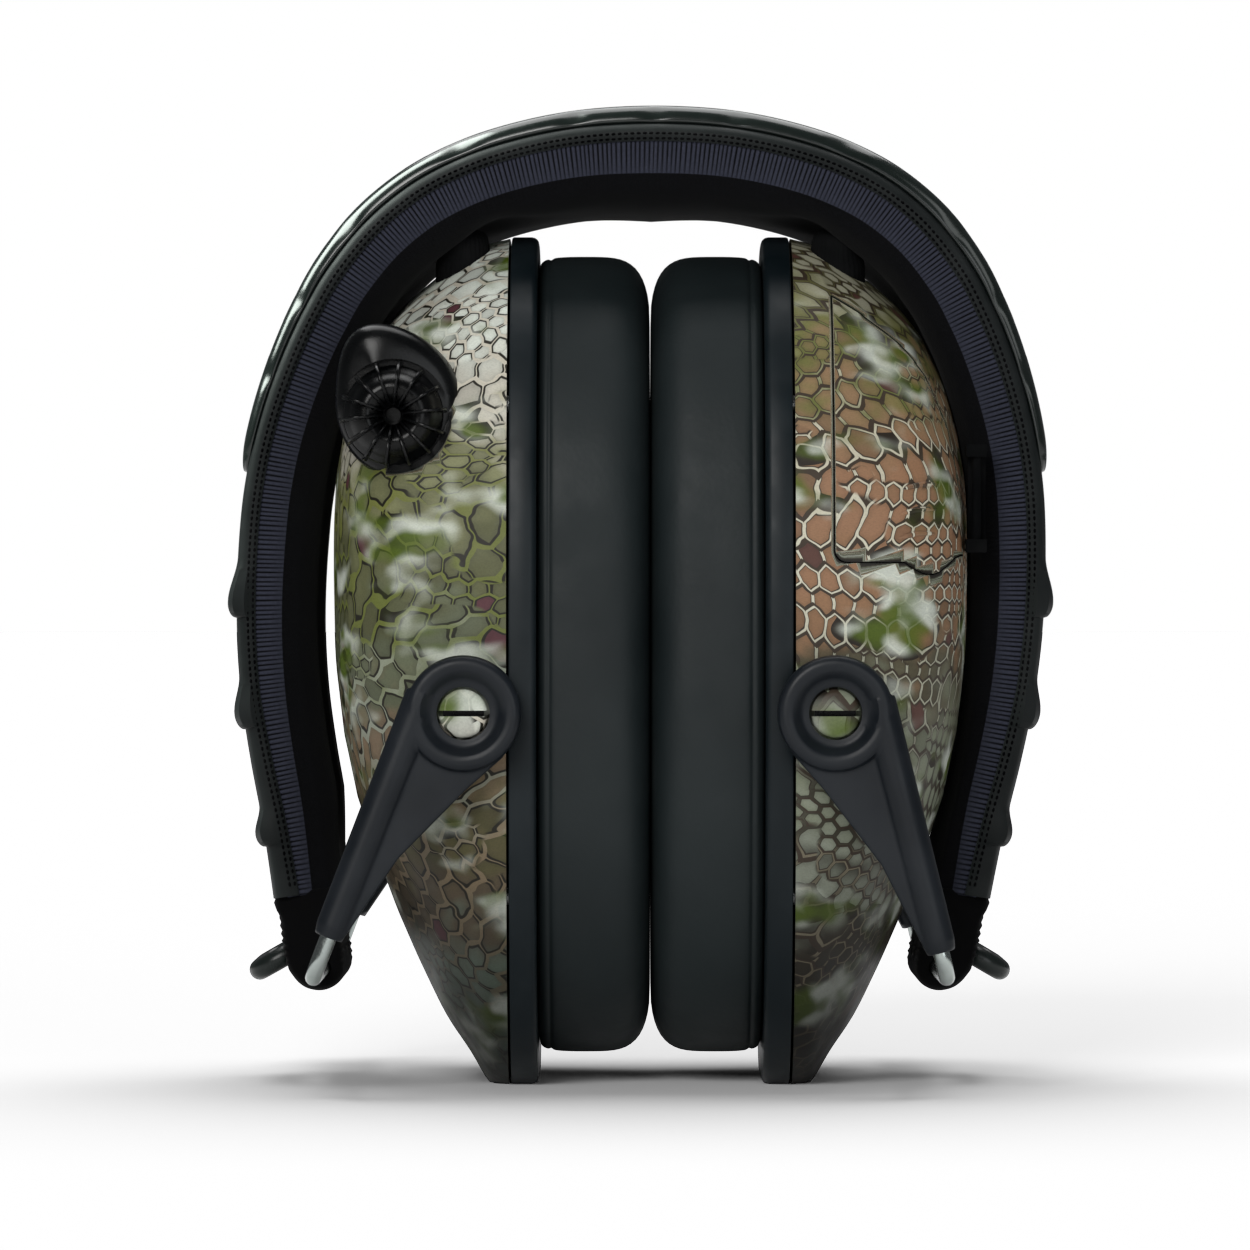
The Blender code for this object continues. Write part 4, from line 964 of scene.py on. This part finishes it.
def make_pull_loop(side, word):
    """Rounded rectangular rubber loop that hangs outwards from the band's foot."""
    ox, oz = LOOP_OUTER
    ix = ox - LOOP_DEPTH * cos(LOOP_SLOPE)
    iz = oz + LOOP_DEPTH * sin(LOOP_SLOPE)
    outwards = np.array((ox - ix, oz - iz)) / LOOP_DEPTH
    r = LOOP_CORNER
    far, high = LOOP_DEPTH - r, LOOP_HALF_WIDTH - r
    world = []
    for quarter, (out, up) in enumerate(((far, high), (far, -high), (r, -high), (r, high))):
        start = (1 - quarter) * 0.5
        for t in np.linspace(start * pi, (start - 0.5) * pi, 14):
            x, z = np.array((ix, iz)) + outwards * (out + r * cos(t))
            wx, wz = band_xz(side, x, z)
            world.append((wx, up + r * sin(t), wz))
    made = swept(word + "_loop", world, 1.32, "loop", 24, closed=True)
    settle(made, word + "_side", word + "_pull_loop")


# ---- bails and arms

def pivot_point(side):
    """World X and Z of a cup's studs."""
    return cup_x(side, PIVOT_DEPTH[side]), PIVOT_Z


def tube_axis(side):
    """Direction, in X and Z, from a wire's hinge end towards the studs' end of its arms."""
    hx, hz = hinge_point(side)
    px, pz = pivot_point(side)
    inwards = (px - hx) * -side
    reach = hypot(inwards, pz - hz)
    angle = atan2(inwards, pz - hz) - asin(TUBE_OFFSET / reach)
    return -side * sin(angle), cos(angle)


def on_arm(side, along, outwards):
    """World X and Z of a point given along and across an arm, from its stud."""
    ux, uz = tube_axis(side)
    px, pz = pivot_point(side)
    nx, nz = side * uz, -side * ux
    return px + ux * along + nx * outwards, pz + uz * along + nz * outwards


def make_bail(side, word):
    """Bright wire bow: a leg into each arm's tube and a straight run behind the foot."""
    hx, hz = hinge_point(side)
    ux, uz = tube_axis(side)
    up = np.array((ux, 0.0, uz))
    path = []
    for sign in (-1, 1):
        corner = np.array((hx, sign * (TUBE_Y - BAIL_BEND), hz)) + up * BAIL_BEND
        leg = np.array((hx, sign * TUBE_Y, hz)) + up * 36.0
        part = [leg, leg - up * 16.0, leg - up * 30.0]
        for t in np.linspace(0.0, pi / 2, 16):
            part.append(corner + BAIL_BEND * (np.array((0, sign, 0)) * cos(t) - up * sin(t)))
        path += part[::-sign]
    made = swept(word + "_bail", path, 1.05, "wire", 28)
    settle(made, word + "_bail", word + "_bail_wire")


def make_arm(side, front, word, end):
    """Eyelet with a rolled rim and dished face, wire tube and thin fin, melted together."""
    px, pz = pivot_point(side)
    outwards = (0.0, front, 0.0)

    def on_tube(along, offset=TUBE_OFFSET):
        x, z = on_arm(side, along, offset)
        return np.array((x, front * TUBE_Y, z))

    def round_ring(name, profile, y=RING_Y[0], segments=96):
        return turned(name, profile, (px, front * y, pz), outwards, "arm", segments)

    foot, top = on_tube(-TUBE_END), on_tube(0.5, TUBE_OFFSET - 0.5)
    shares = np.linspace(0.0, 1.0, 24)
    radii = [2.05 + 0.3 * t - (0.25 if t < 0.01 else 0.0) for t in shares]
    tube = swept("tube", [foot + (top - foot) * t for t in shares], radii, "arm", 32)
    line = [on_arm(side, a, b) for a, b in (
        (-TUBE_END + 0.5, TUBE_OFFSET - 0.6), (-TUBE_END + 0.5, TUBE_OFFSET - 1.9), (-20.0, 1.2),
        (-9.0, -3.7), (-3.5, -6.6), (0.0, -6.0), (0.0, TUBE_OFFSET))]
    rows = [(x, front * y, z) for y in (42.0, 44.15) for x, z in line]
    fin = piece("fin", rows, capped(2, len(line)), ["arm"], smooth=False)
    deep = RING_Y[1] - RING_Y[0]
    ring = round_ring("ring", [
        (6.6, 0.0), (7.2, 0.45), (7.35, 1.3), (7.35, deep - 1.2), (7.15, deep - 0.45),
        (6.6, deep - 0.05), (6.0, deep), (5.4, deep - 0.15), (4.9, deep - 0.6), (4.4, deep - 1.15),
        (3.9, deep - 1.35)])
    made = join_all(word + "_" + end + "_link", [tube, fin, ring])
    fuse(made, 0.2)
    hole = round_ring("tool", [(3.35, 0.0), (3.35, 10.0)], 40.0, 64)
    bore = swept("tool", [on_tube(-TUBE_END - 4.0), on_tube(-TUBE_END + 6.0)], 1.35, "arm", 32)
    dish = round_ring("tool", [
        (3.3, deep - 1.45), (3.9, deep - 1.3), (4.4, deep - 1.1), (4.9, deep - 0.62),
        (5.35, deep - 0.12), (5.6, deep + 0.2), (5.6, deep + 2.0)])
    carve(made, dish, hole, bore)
    sharpen(made, 50.0)
    settle(made, word + "_arms", word + "_" + end + "_arm")


# ---- cups

def shell_profile(count):
    """Levels from the rim to the outer face, eased between the stations."""
    table = np.array(SHELL_LEVELS)
    marks = np.r_[0.0, np.cumsum(np.hypot(np.diff(table[:, 0]), np.diff(table[:, 3])))]
    even = np.linspace(0.0, marks[-1], count)
    raw = np.column_stack([np.interp(even, marks, table[:, i]) for i in range(4)])
    kernel = np.hanning(9) / np.hanning(9).sum()
    soft = raw.copy()
    for i in (1, 2, 3):
        padded = np.r_[np.full(4, raw[0, i]), raw[:, i], 2 * raw[-1, i] - raw[-5:-1, i][::-1]]
        soft[:, i] = np.convolve(padded, kernel, "valid")
    soft[:6] = raw[:6] * np.linspace(1, 0, 6)[:, None] + soft[:6] * np.linspace(0, 1, 6)[:, None]
    return soft


def outline(low, high, half_y, count, floor=None):
    """Y and Z of a rounded, squarish ring, cut flat at the floor if there is one."""
    power = 2.0 / CUP_POWER
    t = 2 * pi * (np.arange(count) + 0.5) / count
    c, s = np.cos(t), np.sin(t)
    y = half_y * np.sign(c) * np.abs(c) ** power
    z = (low + high) / 2 + (high - low) / 2 * np.sign(s) * np.abs(s) ** power
    if floor is not None:
        z = np.maximum(z, floor)
    return y, z


def cup_ring(side, depth, low, high, half_y, count, floor=None):
    """One closed ring of a cup's part at a depth from the cushions' contact plane."""
    y, z = outline(low, high, half_y, count, floor)
    return np.column_stack([np.full(count, cup_x(side, depth)), y, z])


def shell_skin(side, grow=0.0, rings=64, count=200):
    """Outer skin of a cup, and the print's own flat coordinates on it."""
    grid = []
    for depth, low, high, half in shell_profile(rings):
        floor = 0.0 if depth < 22.0 else None
        moved = depth + (grow if depth > 40 else 0.0)
        grid.append(cup_ring(side, moved, low - grow, high + grow, half + grow, count, floor))
    grid = np.array(grid)
    steps = np.linalg.norm(np.diff(grid, axis=0), axis=2)
    from_apex = np.vstack([np.cumsum(steps[::-1], axis=0)[::-1], np.zeros((1, count))])
    lead = np.linalg.norm(grid[-1][:, 1:] - PRINT_APEX, axis=1)
    prints = []
    for ring, distance in zip(grid, from_apex):
        offset = ring[:, 1:] - PRINT_APEX
        angle = np.arctan2(offset[:, 1], offset[:, 0])
        reach = lead + distance
        prints.append(np.column_stack([reach * np.cos(angle), reach * np.sin(angle), ring[:, 2]]))
    return np.vstack(grid), np.vstack(prints)


def make_shell(side, word, camo):
    """Printed shell with a turned-in rim, hollowed to its wall thickness."""
    rings, count = 64, 200
    points, prints = shell_skin(side, 0.0, rings, count)
    y, z = outline(0.2, 108.4, 37.9, count, 1.8)
    inner = [np.column_stack([np.full(count, cup_x(side, SHELL_RIM)), y, z]),
             np.column_stack([np.full(count, cup_x(side, 24.0)), y * 0.97, 55 + (z - 55) * 0.93])]
    top = len(points)
    extra = np.vstack(inner)
    faces = grid_faces(rings, count)
    for j in range(count):
        k = (j + 1) % count
        faces.append((j, k, top + k, top + j))
        faces.append((top + j, top + k, top + count + k, top + count + j))
    faces += [ring_face(rings + 1, count), ring_face(rings - 1, count)]
    prints = np.vstack([prints, extra[:, [1, 2, 2]]])
    made = piece(word + "_shell", np.vstack([points, extra]), faces, [camo], skin=("print", prints))
    rings, count = 40, 140
    points = shell_skin(side, -SHELL_WALL, rings, count)[0]
    return carve(made, piece("tool", points, capped(rings, count), ["dull"]))


def make_studs(side, word, camo):
    """The shell's own split snap studs, seen inside the eyelets."""
    px, pz = pivot_point(side)
    profile = [(4.3, -2.0), (4.15, 1.6), (2.6, 2.0), (2.6, 4.4), (2.95, 4.9), (3.05, 5.3), (3.05, 5.9),
               (2.9, 6.25), (2.5, 6.5), (1.6, 6.68), (0.5, 6.75)]
    print_height = 98.0 if side < 0 else 36.0
    for front, end in ((-1, "front"), (1, "rear")):
        stud = turned(word + "_" + end + "_stud", profile, (px, front * 38.6, pz), (0, front, 0), camo, 64)
        near, far = sorted((front * 42.6, front * 47))
        carve(stud, box_piece("tool", (px - 5, near, pz - 0.36), (px + 5, far, pz + 0.36), "black"))
        write_vectors(stud, "print", [(v.co.x / MM * 0.9 + 11.0, v.co.z / MM * 0.9 - 52.0, print_height)
                                      for v in stud.data.vertices])
        sharpen(stud, 40.0)
        settle(stud, word + "_cup")


def box_piece(name, low, high, look_name):
    (x0, y0, z0), (x1, y1, z1) = low, high
    points = [(x, y, z) for z in (z0, z1) for x, y in ((x0, y0), (x1, y0), (x1, y1), (x0, y1))]
    faces = [(0, 1, 2, 3), (4, 5, 6, 7), (0, 1, 5, 4), (1, 2, 6, 5), (2, 3, 7, 6), (3, 0, 4, 7)]
    return piece(name, points, faces, [look_name], smooth=False)


def make_bezel(side, word):
    """Rim plate: rounded outer edge and a flat opening for the ear."""
    count = 220
    section = [(14.6, 0.85), (14.66, 0.55), (14.82, 0.3), (15.1, 0.1), (15.5, 0.0), (16.4, 0.0),
               (17.8, 0.0), (18.02, 0.08), (18.1, 0.3)]
    rows = [cup_ring(side, depth, -1.98 + inset, 110.7 - inset, 40.0 - inset, count, max(0.0, inset * 0.5))
            for depth, inset in section]
    rows += [cup_ring(side, depth, 23.5, 86.5, 20.0, count) for depth in (18.1, 14.6)]
    made = ring_loft(word + "_rim_plate", rows, "bezel")
    sharpen(made, 45.0)
    settle(made, word + "_cup", word + "_bezel")


def cushion_base(side, word, shrink):
    """Sealing ring before it swells: rolled outer wall, seam lip and ear opening."""
    count = 150
    outer = [(0.05, 7.4), (0.3, 5.0), (0.9, 2.9), (1.9, 1.4), (3.2, 0.5), (4.7, 0.1), (6.5, 0.0),
             (8.5, 0.0), (10.5, 0.0), (12.2, 0.1), (12.75, 0.2), (13.0, 0.6), (13.25, 0.25), (13.9, 0.5),
             (14.35, 0.9), (14.5, 1.5), (14.5, 2.3), (13.35, 2.5)]
    inner = [(13.3, 0.6), (9.0, 0.6), (4.6, 0.9), (1.6, 2.4), (0.3, 4.8)]
    rows = [cup_ring(side, depth, 3.4 + inset + shrink, 108.3 - inset - shrink, 37.4 - inset - shrink, count)
            for depth, inset in outer]
    rows += [cup_ring(side, depth, 24.5 - inset - shrink, 85.5 + inset + shrink, 19.0 + inset + shrink, count)
             for depth, inset in inner]
    return ring_loft(word + "_ear_cushion", rows, "cushion")


def inflate(made, cap, frames=20):
    """Cloth pass: the skin swells under pressure, by no more than the cap, in millimetres."""
    start = read_vertices(made)
    cloth = made.modifiers.new("swell", "CLOTH")
    settings = cloth.settings
    for key, value in {"use_pressure": True, "uniform_pressure_force": 4.0, "quality": 6, "mass": 0.15,
                       "tension_stiffness": 12.0, "compression_stiffness": 12.0,
                       "shear_stiffness": 6.0, "bending_stiffness": 0.6}.items():
        setattr(settings, key, value)
    settings.effector_weights.gravity = 0.0
    cloth.collision_settings.use_collision = False
    cloth.point_cache.frame_start = 1
    cloth.point_cache.frame_end = frames
    scene = bpy.context.scene
    for number in range(1, frames + 1):
        scene.frame_set(number)
    apply_all(made)
    scene.frame_set(1)
    move = read_vertices(made) - start
    far = np.linalg.norm(move, axis=1)
    limit = np.minimum(1.0, cap * MM / np.maximum(far, 1e-9))
    write_vertices(made, start + move * limit[:, None])


def fit_cushion(made, side):
    """Keeps the swollen cushion on its plate and just clear of its neighbours."""
    p = read_vertices(made) / MM
    depth = (p[:, 0] - CONTACT_X) * side
    depth -= (depth.min() - CUSHION_GAP) * np.clip(1.0 - depth / 4.0, 0.0, 1.0)
    depth = np.clip(depth, CUSHION_GAP, CUSHION_BACK)
    y, z = p[:, 1], p[:, 2] - CUSHION_MIDDLE_Z
    p[:, 0] = CONTACT_X + side * depth
    grow = (np.abs(y) / CUSHION_HALF[0]) ** CUP_POWER + (np.abs(z) / CUSHION_HALF[1]) ** CUP_POWER
    over = np.maximum(grow, 1e-9) ** (1 / CUP_POWER)
    scale = np.where(over > 1.0, 1.0 / over, 1.0)
    p[:, 1] = y * scale
    p[:, 2] = z * scale + CUSHION_MIDDLE_Z
    write_vertices(made, p * MM)


def make_cushion(side, word):
    made = cushion_base(side, word, 0.15)
    inflate(made, 0.4)
    fit_cushion(made, side)
    finer = made.modifiers.new("finer", "SUBSURF")
    finer.levels = 1
    finer.render_levels = 1
    apply_all(made)
    fit_cushion(made, side)
    made.data.shade_smooth()
    settle(made, word + "_cup", word + "_cushion")


def make_pod(side, word):
    """Foam windscreen with a flared foot and faint flutes, and the microphone under it."""
    def stand(name, profile, y, z, lean, look, segments, flutes=0.0):
        axis = (0.0, -sin(lean), cos(lean))
        return turned(name, profile, (cup_x(side, POD_DEPTH), y, z), axis, look, segments, flutes)

    screen = [(3.75, -3.0), (3.75, -0.9), (3.7, -0.2), (3.45, 0.5), (3.25, 1.4), (3.15, 2.4), (3.0, 3.2),
              (2.6, 3.8), (1.6, 4.2), (0.4, 4.3)]
    made = stand(word + "_windscreen", screen, POD_Y, POD_Z, POD_LEAN, "foam", 120, 0.05)
    settle(made, word + "_cup", word + "_mic_pod")
    can = [(1.3, -5.4), (1.6, -5.3), (1.7, -5.1), (1.7, -3.2), (1.6, -3.0), (1.2, -2.95), (1.0, -3.1),
           (0.3, -3.1)]
    made = stand(word + "_microphone", can, *CAPSULE, "brass", 48)
    sharpen(made, 40.0)
    settle(made, word + "_cup", word + "_mic_capsule")


def make_foam(side, word):
    """Soft foam disc inside the cup, its face lightly pillowed."""
    count = 96
    rings = [(18.75, 9.0), (18.55, 5.0), (18.5, 2.2), (18.6, 0.8), (18.9, 0.15), (19.5, 0.0), (20.1, 0.15),
             (20.4, 0.8), (20.5, 2.2), (20.5, 9.0)]
    rows = []
    for depth, inset in rings:
        ring = cup_ring(side, depth, 10.0 + inset, 100.0 - inset, 24.0 - inset, count)
        ripple = 0.1 * np.sin(np.arange(count) * 1.7 + depth * 3.0) * np.cos(np.arange(count) * 0.6)
        ring[:, 0] += side * np.abs(ripple)
        rows.append(ring)
    made = piece(word + "_liner", np.vstack(rows), capped(len(rings), count), ["foam"])
    settle(made, word + "_cup", word + "_foam_liner")


# ---- volume knob

def knob_well(radii, lift):
    """Round tool on the volume knob's axis."""
    place = (KNOB_X, KNOB_SEAT_Y + lift, KNOB_Z)
    return turned("tool", [(radii[0], 0.0), (radii[1], 12.0)], place, (0, -1, 0), "black", 96)


def make_seat():
    """Oval housing that the knob turns on, its crown swelling above the knob."""
    rows = []
    count = 96
    levels = [(0.0, -26.0), (0.0, -31.5), (-0.15, -32.6), (-0.5, -33.5), (-1.1, -34.1), (-2.0, -34.5),
              (-3.4, -34.75), (-5.0, -34.9)]
    for grow, y in levels:
        for t in circle(count):
            up = sin(t)
            swell = -0.9 * max(0.0, up) ** 2 if y < -32.0 else 0.0
            lean = -2.6 * max(0.0, up) ** 2
            x = KNOB_X + 0.6 + lean + (8.1 + grow) * cos(t)
            rows.append((x, y + swell, 88.3 + (9.9 + grow) * up))
    made = piece("knob_housing", rows, capped(len(levels), count), ["black"])
    sharpen(carve(made, knob_well((7.15, 7.3), 0.1)), 40.0)
    settle(made, "left_cup", "volume_seat")


def make_knob():
    """Domed core with radial fins that stand out round it, and a hollow centre."""
    high = KNOB_SEAT_Y - KNOB_TIP_Y
    core = [(1.3, -18.0), (1.3, -0.2), (6.3, 0.0), (6.4, 0.3), (6.2, 0.8), (5.75, 1.2), (5.4, 1.9),
            (4.9, 2.7), (4.3, 3.3), (3.6, 3.6), (3.0, 3.5), (2.5, 3.1), (2.1, 2.7), (1.7, 2.3), (1.4, 1.4),
            (1.1, 0.4), (0.7, -0.8), (0.2, -1.8)]
    parts = [turned("knob", core, (KNOB_X, KNOB_SEAT_Y, KNOB_Z), (0, -1, 0), "black", 112)]
    stations = [(1.25, high * 0.25, high * 0.50), (2.1, high * 0.35, high * 0.76),
                (3.2, high * 0.35, high * 0.93), (4.2, high * 0.3, high), (5.2, 0.4, high * 0.97),
                (6.1, 0.3, high * 0.84), (6.7, 0.2, high * 0.62), (6.88, 0.1, high * 0.40)]
    for turn in circle(KNOB_FINS):
        t = turn + 0.1
        along = np.array((cos(t), sin(t)))
        wide = np.array((-sin(t), cos(t)))
        rows = []
        for reach, low, top in stations:
            middle = (low + top) / 2
            for w, h in ((-0.34, low), (-0.27, middle), (-0.13, top - 0.05), (0.0, top),
                         (0.13, top - 0.05), (0.27, middle), (0.34, low)):
                x, z = along * reach + wide * w
                rows.append((KNOB_X + x, KNOB_SEAT_Y - h, KNOB_Z + z))
        parts.append(piece("fin", rows, capped(len(stations), 7), ["black"]))
    made = join_all("knob", parts)
    sharpen(made, 50.0)
    settle(made, "volume_knob", "volume_knob")


# ---- battery door

def door_cutter(grow):
    """Region of the lid: rounded inner corner, lower edge dipped at the thumb latch."""
    x0 = cup_x(1, DOOR_DEPTH) - grow
    z0, z1 = DOOR_Z[0] - grow, DOOR_Z[1] + grow
    line = [(x0 + DOOR_CORNER * (1 - cos(t)), z0 + DOOR_CORNER * (1 - sin(t)))
            for t in np.linspace(0.0, pi / 2, 8)]
    line.append((LATCH_X, z0))
    for t in np.linspace(0.08, 1.0, 14):
        dip = -1.5 * sin(pi * min(1.0, t * 1.15)) + 3.4 * max(0.0, t - 0.45) ** 2
        line.append((LATCH_X + 7.6 * t, z0 + dip))
    line += [(60.0, line[-1][1]), (60.0, z1), (x0 + 1.2, z1), (x0, z1 - 1.2)]
    points = [(x, y, z) for y in (-60.0, DOOR_Y + grow) for x, z in line]
    return piece("tool", points, capped(2, len(line)), ["black"], smooth=False)


def skin_y(side, x, z):
    """Y of the cup's front surface at a world X and Z."""
    table = np.array(SHELL_LEVELS)
    depth = (x - CONTACT_X) * side
    low, high, half = (np.interp(depth, table[:, 0], table[:, i]) for i in (1, 2, 3))
    share = abs(z - (low + high) / 2) / ((high - low) / 2)
    return -half * max(0.0, 1.0 - share ** CUP_POWER) ** (1.0 / CUP_POWER)


def make_grips(lid, camo):
    """Three low finger ribs beside the latch, printed like the lid under them."""
    values = np.empty(len(lid.data.vertices) * 3, np.float32)
    lid.data.attributes["print"].data.foreach_get("vector", values)
    values = values.reshape(-1, 3)
    tree = KDTree(len(values))
    for i, vertex in enumerate(lid.data.vertices):
        tree.insert(vertex.co, i)
    tree.balance()
    shares = np.linspace(0.0, 1.0, 16)
    radii = [0.12 + 0.24 * sin(pi * t) ** 0.5 for t in shares]
    parts = []
    for row, z in enumerate((76.9, 73.7, 70.6)):
        path = []
        for t in shares:
            x = 33.4 - row * 0.3 + 4.6 * t
            up = z + 0.7 * t + 0.3 * sin(pi * t)
            path.append((x, skin_y(1, x, up) + 0.12, up))
        parts.append(swept("rib", path, radii, "black", 12))
    made = join_all("lid_grips", parts)
    made.data.materials.clear()
    made.data.materials.append(camo)
    made.data.shade_smooth()
    write_vectors(made, "print", np.array([values[tree.find(v.co)[1]] for v in made.data.vertices]))
    settle(made, "battery_door")


def make_right_shell(camo):
    """Right shell with the battery lid cut out of its own skin."""
    shell = make_shell(1, "right", camo)
    door = shell.copy()
    door.data = shell.data.copy()
    door.name = door.data.name = "battery_lid"
    bpy.context.scene.collection.objects.link(door)
    carve(door, door_cutter(-0.06), operation="INTERSECT")
    carve(shell, door_cutter(0.08))
    make_grips(door, camo)
    for made, body, node in ((shell, "right_cup", "right_cup_shell"), (door, "battery_door", "battery_door")):
        sharpen(made, 35.0)
        settle(made, body, node)


def make_left_shell(camo):
    shell = carve(make_shell(-1, "left", camo), knob_well((7.45, 7.45), 0.3))
    sharpen(shell, 35.0)
    settle(shell, "left_cup", "left_cup_shell")


# ---- carried-over solids

def dress_cad():
    """Procedural materials on the solids that stay."""
    looks = {"black": "speaker battery_tray cushion_plate", "brass": "battery_contact", "foam": "foam_liner",
             "dull": "mic_capsule volume_control battery_door_pin door_hinge", "board": "circuit_board",
             "steel": "battery_lower battery_upper bezel_screw band_pin"}
    for name, node in frame["nodes"].items():
        for look, keys in looks.items():
            if any(key in name for key in keys.split()):
                node.data.materials.clear()
                node.data.materials.append(LOOKS[look])


# ---- stage

def area_light(name, place, aim, size, power, colour=(1.0, 1.0, 1.0)):
    data = bpy.data.lights.new(name, "AREA")
    data.shape = "RECTANGLE"
    data.size, data.size_y = size
    data.energy = power
    data.color = colour
    made = bpy.data.objects.new(name, data)
    made.location = place
    made.rotation_euler = (Vector(aim) - Vector(place)).to_track_quat("-Z", "Y").to_euler()
    bpy.context.scene.collection.objects.link(made)
    return made


def make_floor():
    """Pale floor that only takes the shadow."""
    size = 60.0
    mesh = bpy.data.meshes.new("floor")
    corners = [(-size, -size, 0.0), (size, -size, 0.0), (size, size, 0.0), (-size, size, 0.0)]
    mesh.from_pydata(corners, [], [(0, 1, 2, 3)])
    floor = bpy.data.objects.new("floor", mesh)
    bpy.context.scene.collection.objects.link(floor)
    mesh.materials.append(Nodes("pale_floor").surface((0.92, 0.92, 0.92), 0.9, specular=0.1))
    floor.is_shadow_catcher = True


def make_world():
    """White where the camera sees it, dim where it lights the part."""
    world = bpy.data.worlds.new("studio")
    bpy.context.scene.world = world
    world.use_nodes = True
    tree = world.node_tree
    tree.nodes.clear()
    mix = tree.nodes.new("ShaderNodeMixShader")
    for socket, colour, strength in ((1, (0.95, 0.98, 1.0, 1.0), 0.09), (2, (1.0, 1.0, 1.0, 1.0), 1.0)):
        light = tree.nodes.new("ShaderNodeBackground")
        light.inputs["Color"].default_value = colour
        light.inputs["Strength"].default_value = strength
        tree.links.new(light.outputs[0], mix.inputs[socket])
    path = tree.nodes.new("ShaderNodeLightPath")
    tree.links.new(path.outputs["Is Camera Ray"], mix.inputs[0])
    out = tree.nodes.new("ShaderNodeOutputWorld")
    tree.links.new(mix.outputs[0], out.inputs[0])


def make_stage():
    """Floor, studio light and camera; returns the two edge lights."""
    make_floor()
    make_world()
    centre = (0.0, 0.0, 0.06)
    area_light("key", (-0.30, -0.95, 0.50), centre, (0.45, 0.45), 5.6, (1.0, 0.99, 0.97))
    area_light("fill", (0.45, -0.95, 0.22), centre, (0.5, 0.5), 1.4, (0.95, 0.98, 1.0))
    area_light("top", (0.0, 0.26, 0.75), centre, (0.7, 0.7), 5.5)
    left = area_light("left_edge", (-0.46, 0.02, 0.52), (-0.03, 0.0, 0.10), (0.34, 0.6), 10.0,
                      (0.90, 1.0, 0.93))
    right = area_light("right_edge", (0.50, -0.25, 0.36), (0.03, 0.0, 0.10), (0.25, 0.4), 0.5,
                       (0.95, 1.0, 0.98))
    scene = bpy.context.scene
    camera = bpy.data.objects.new("camera", bpy.data.cameras.new("camera"))
    camera.location = (-0.00198, -1.0, 0.05966)
    camera.rotation_euler = (pi / 2, 0.0, 0.0)
    camera.data.sensor_width = SENSOR
    camera.data.lens = SENSOR / PHOTO_WIDTH
    camera.data.clip_start = 0.01
    scene.collection.objects.link(camera)
    scene.camera = camera
    scene.view_settings.view_transform = "Standard"
    scene.view_settings.look = "None"
    return left, right


def light_only(lights, names):
    """Keeps the edge lights to the pieces that carry the edge highlight."""
    lit, shading = (bpy.data.collections.new(name) for name in ("edge_lit", "edge_shading"))
    for made in bpy.data.objects:
        if made.name.startswith(names):
            lit.objects.link(made)
            shading.objects.link(made)
    for light in lights:
        light.light_linking.receiver_collection = lit
        light.light_linking.blocker_collection = shading


def main():
    lights = make_stage()
    make_headband()
    for side, word in SIDES:
        make_end_cap(side, word)
        make_pull_loop(side, word)
        make_bail(side, word)
        make_arm(side, -1, word, "front")
        make_arm(side, 1, word, "rear")
        make_bezel(side, word)
        make_cushion(side, word)
        make_pod(side, word)
        make_foam(side, word)
    make_left_shell(LEFT_CAMO)
    make_right_shell(RIGHT_CAMO)
    make_studs(-1, "left", LEFT_CAMO)
    make_studs(1, "right", RIGHT_CAMO)
    make_seat()
    make_knob()
    dress_cad()
    light_only(lights, EDGE_LIT)


main()
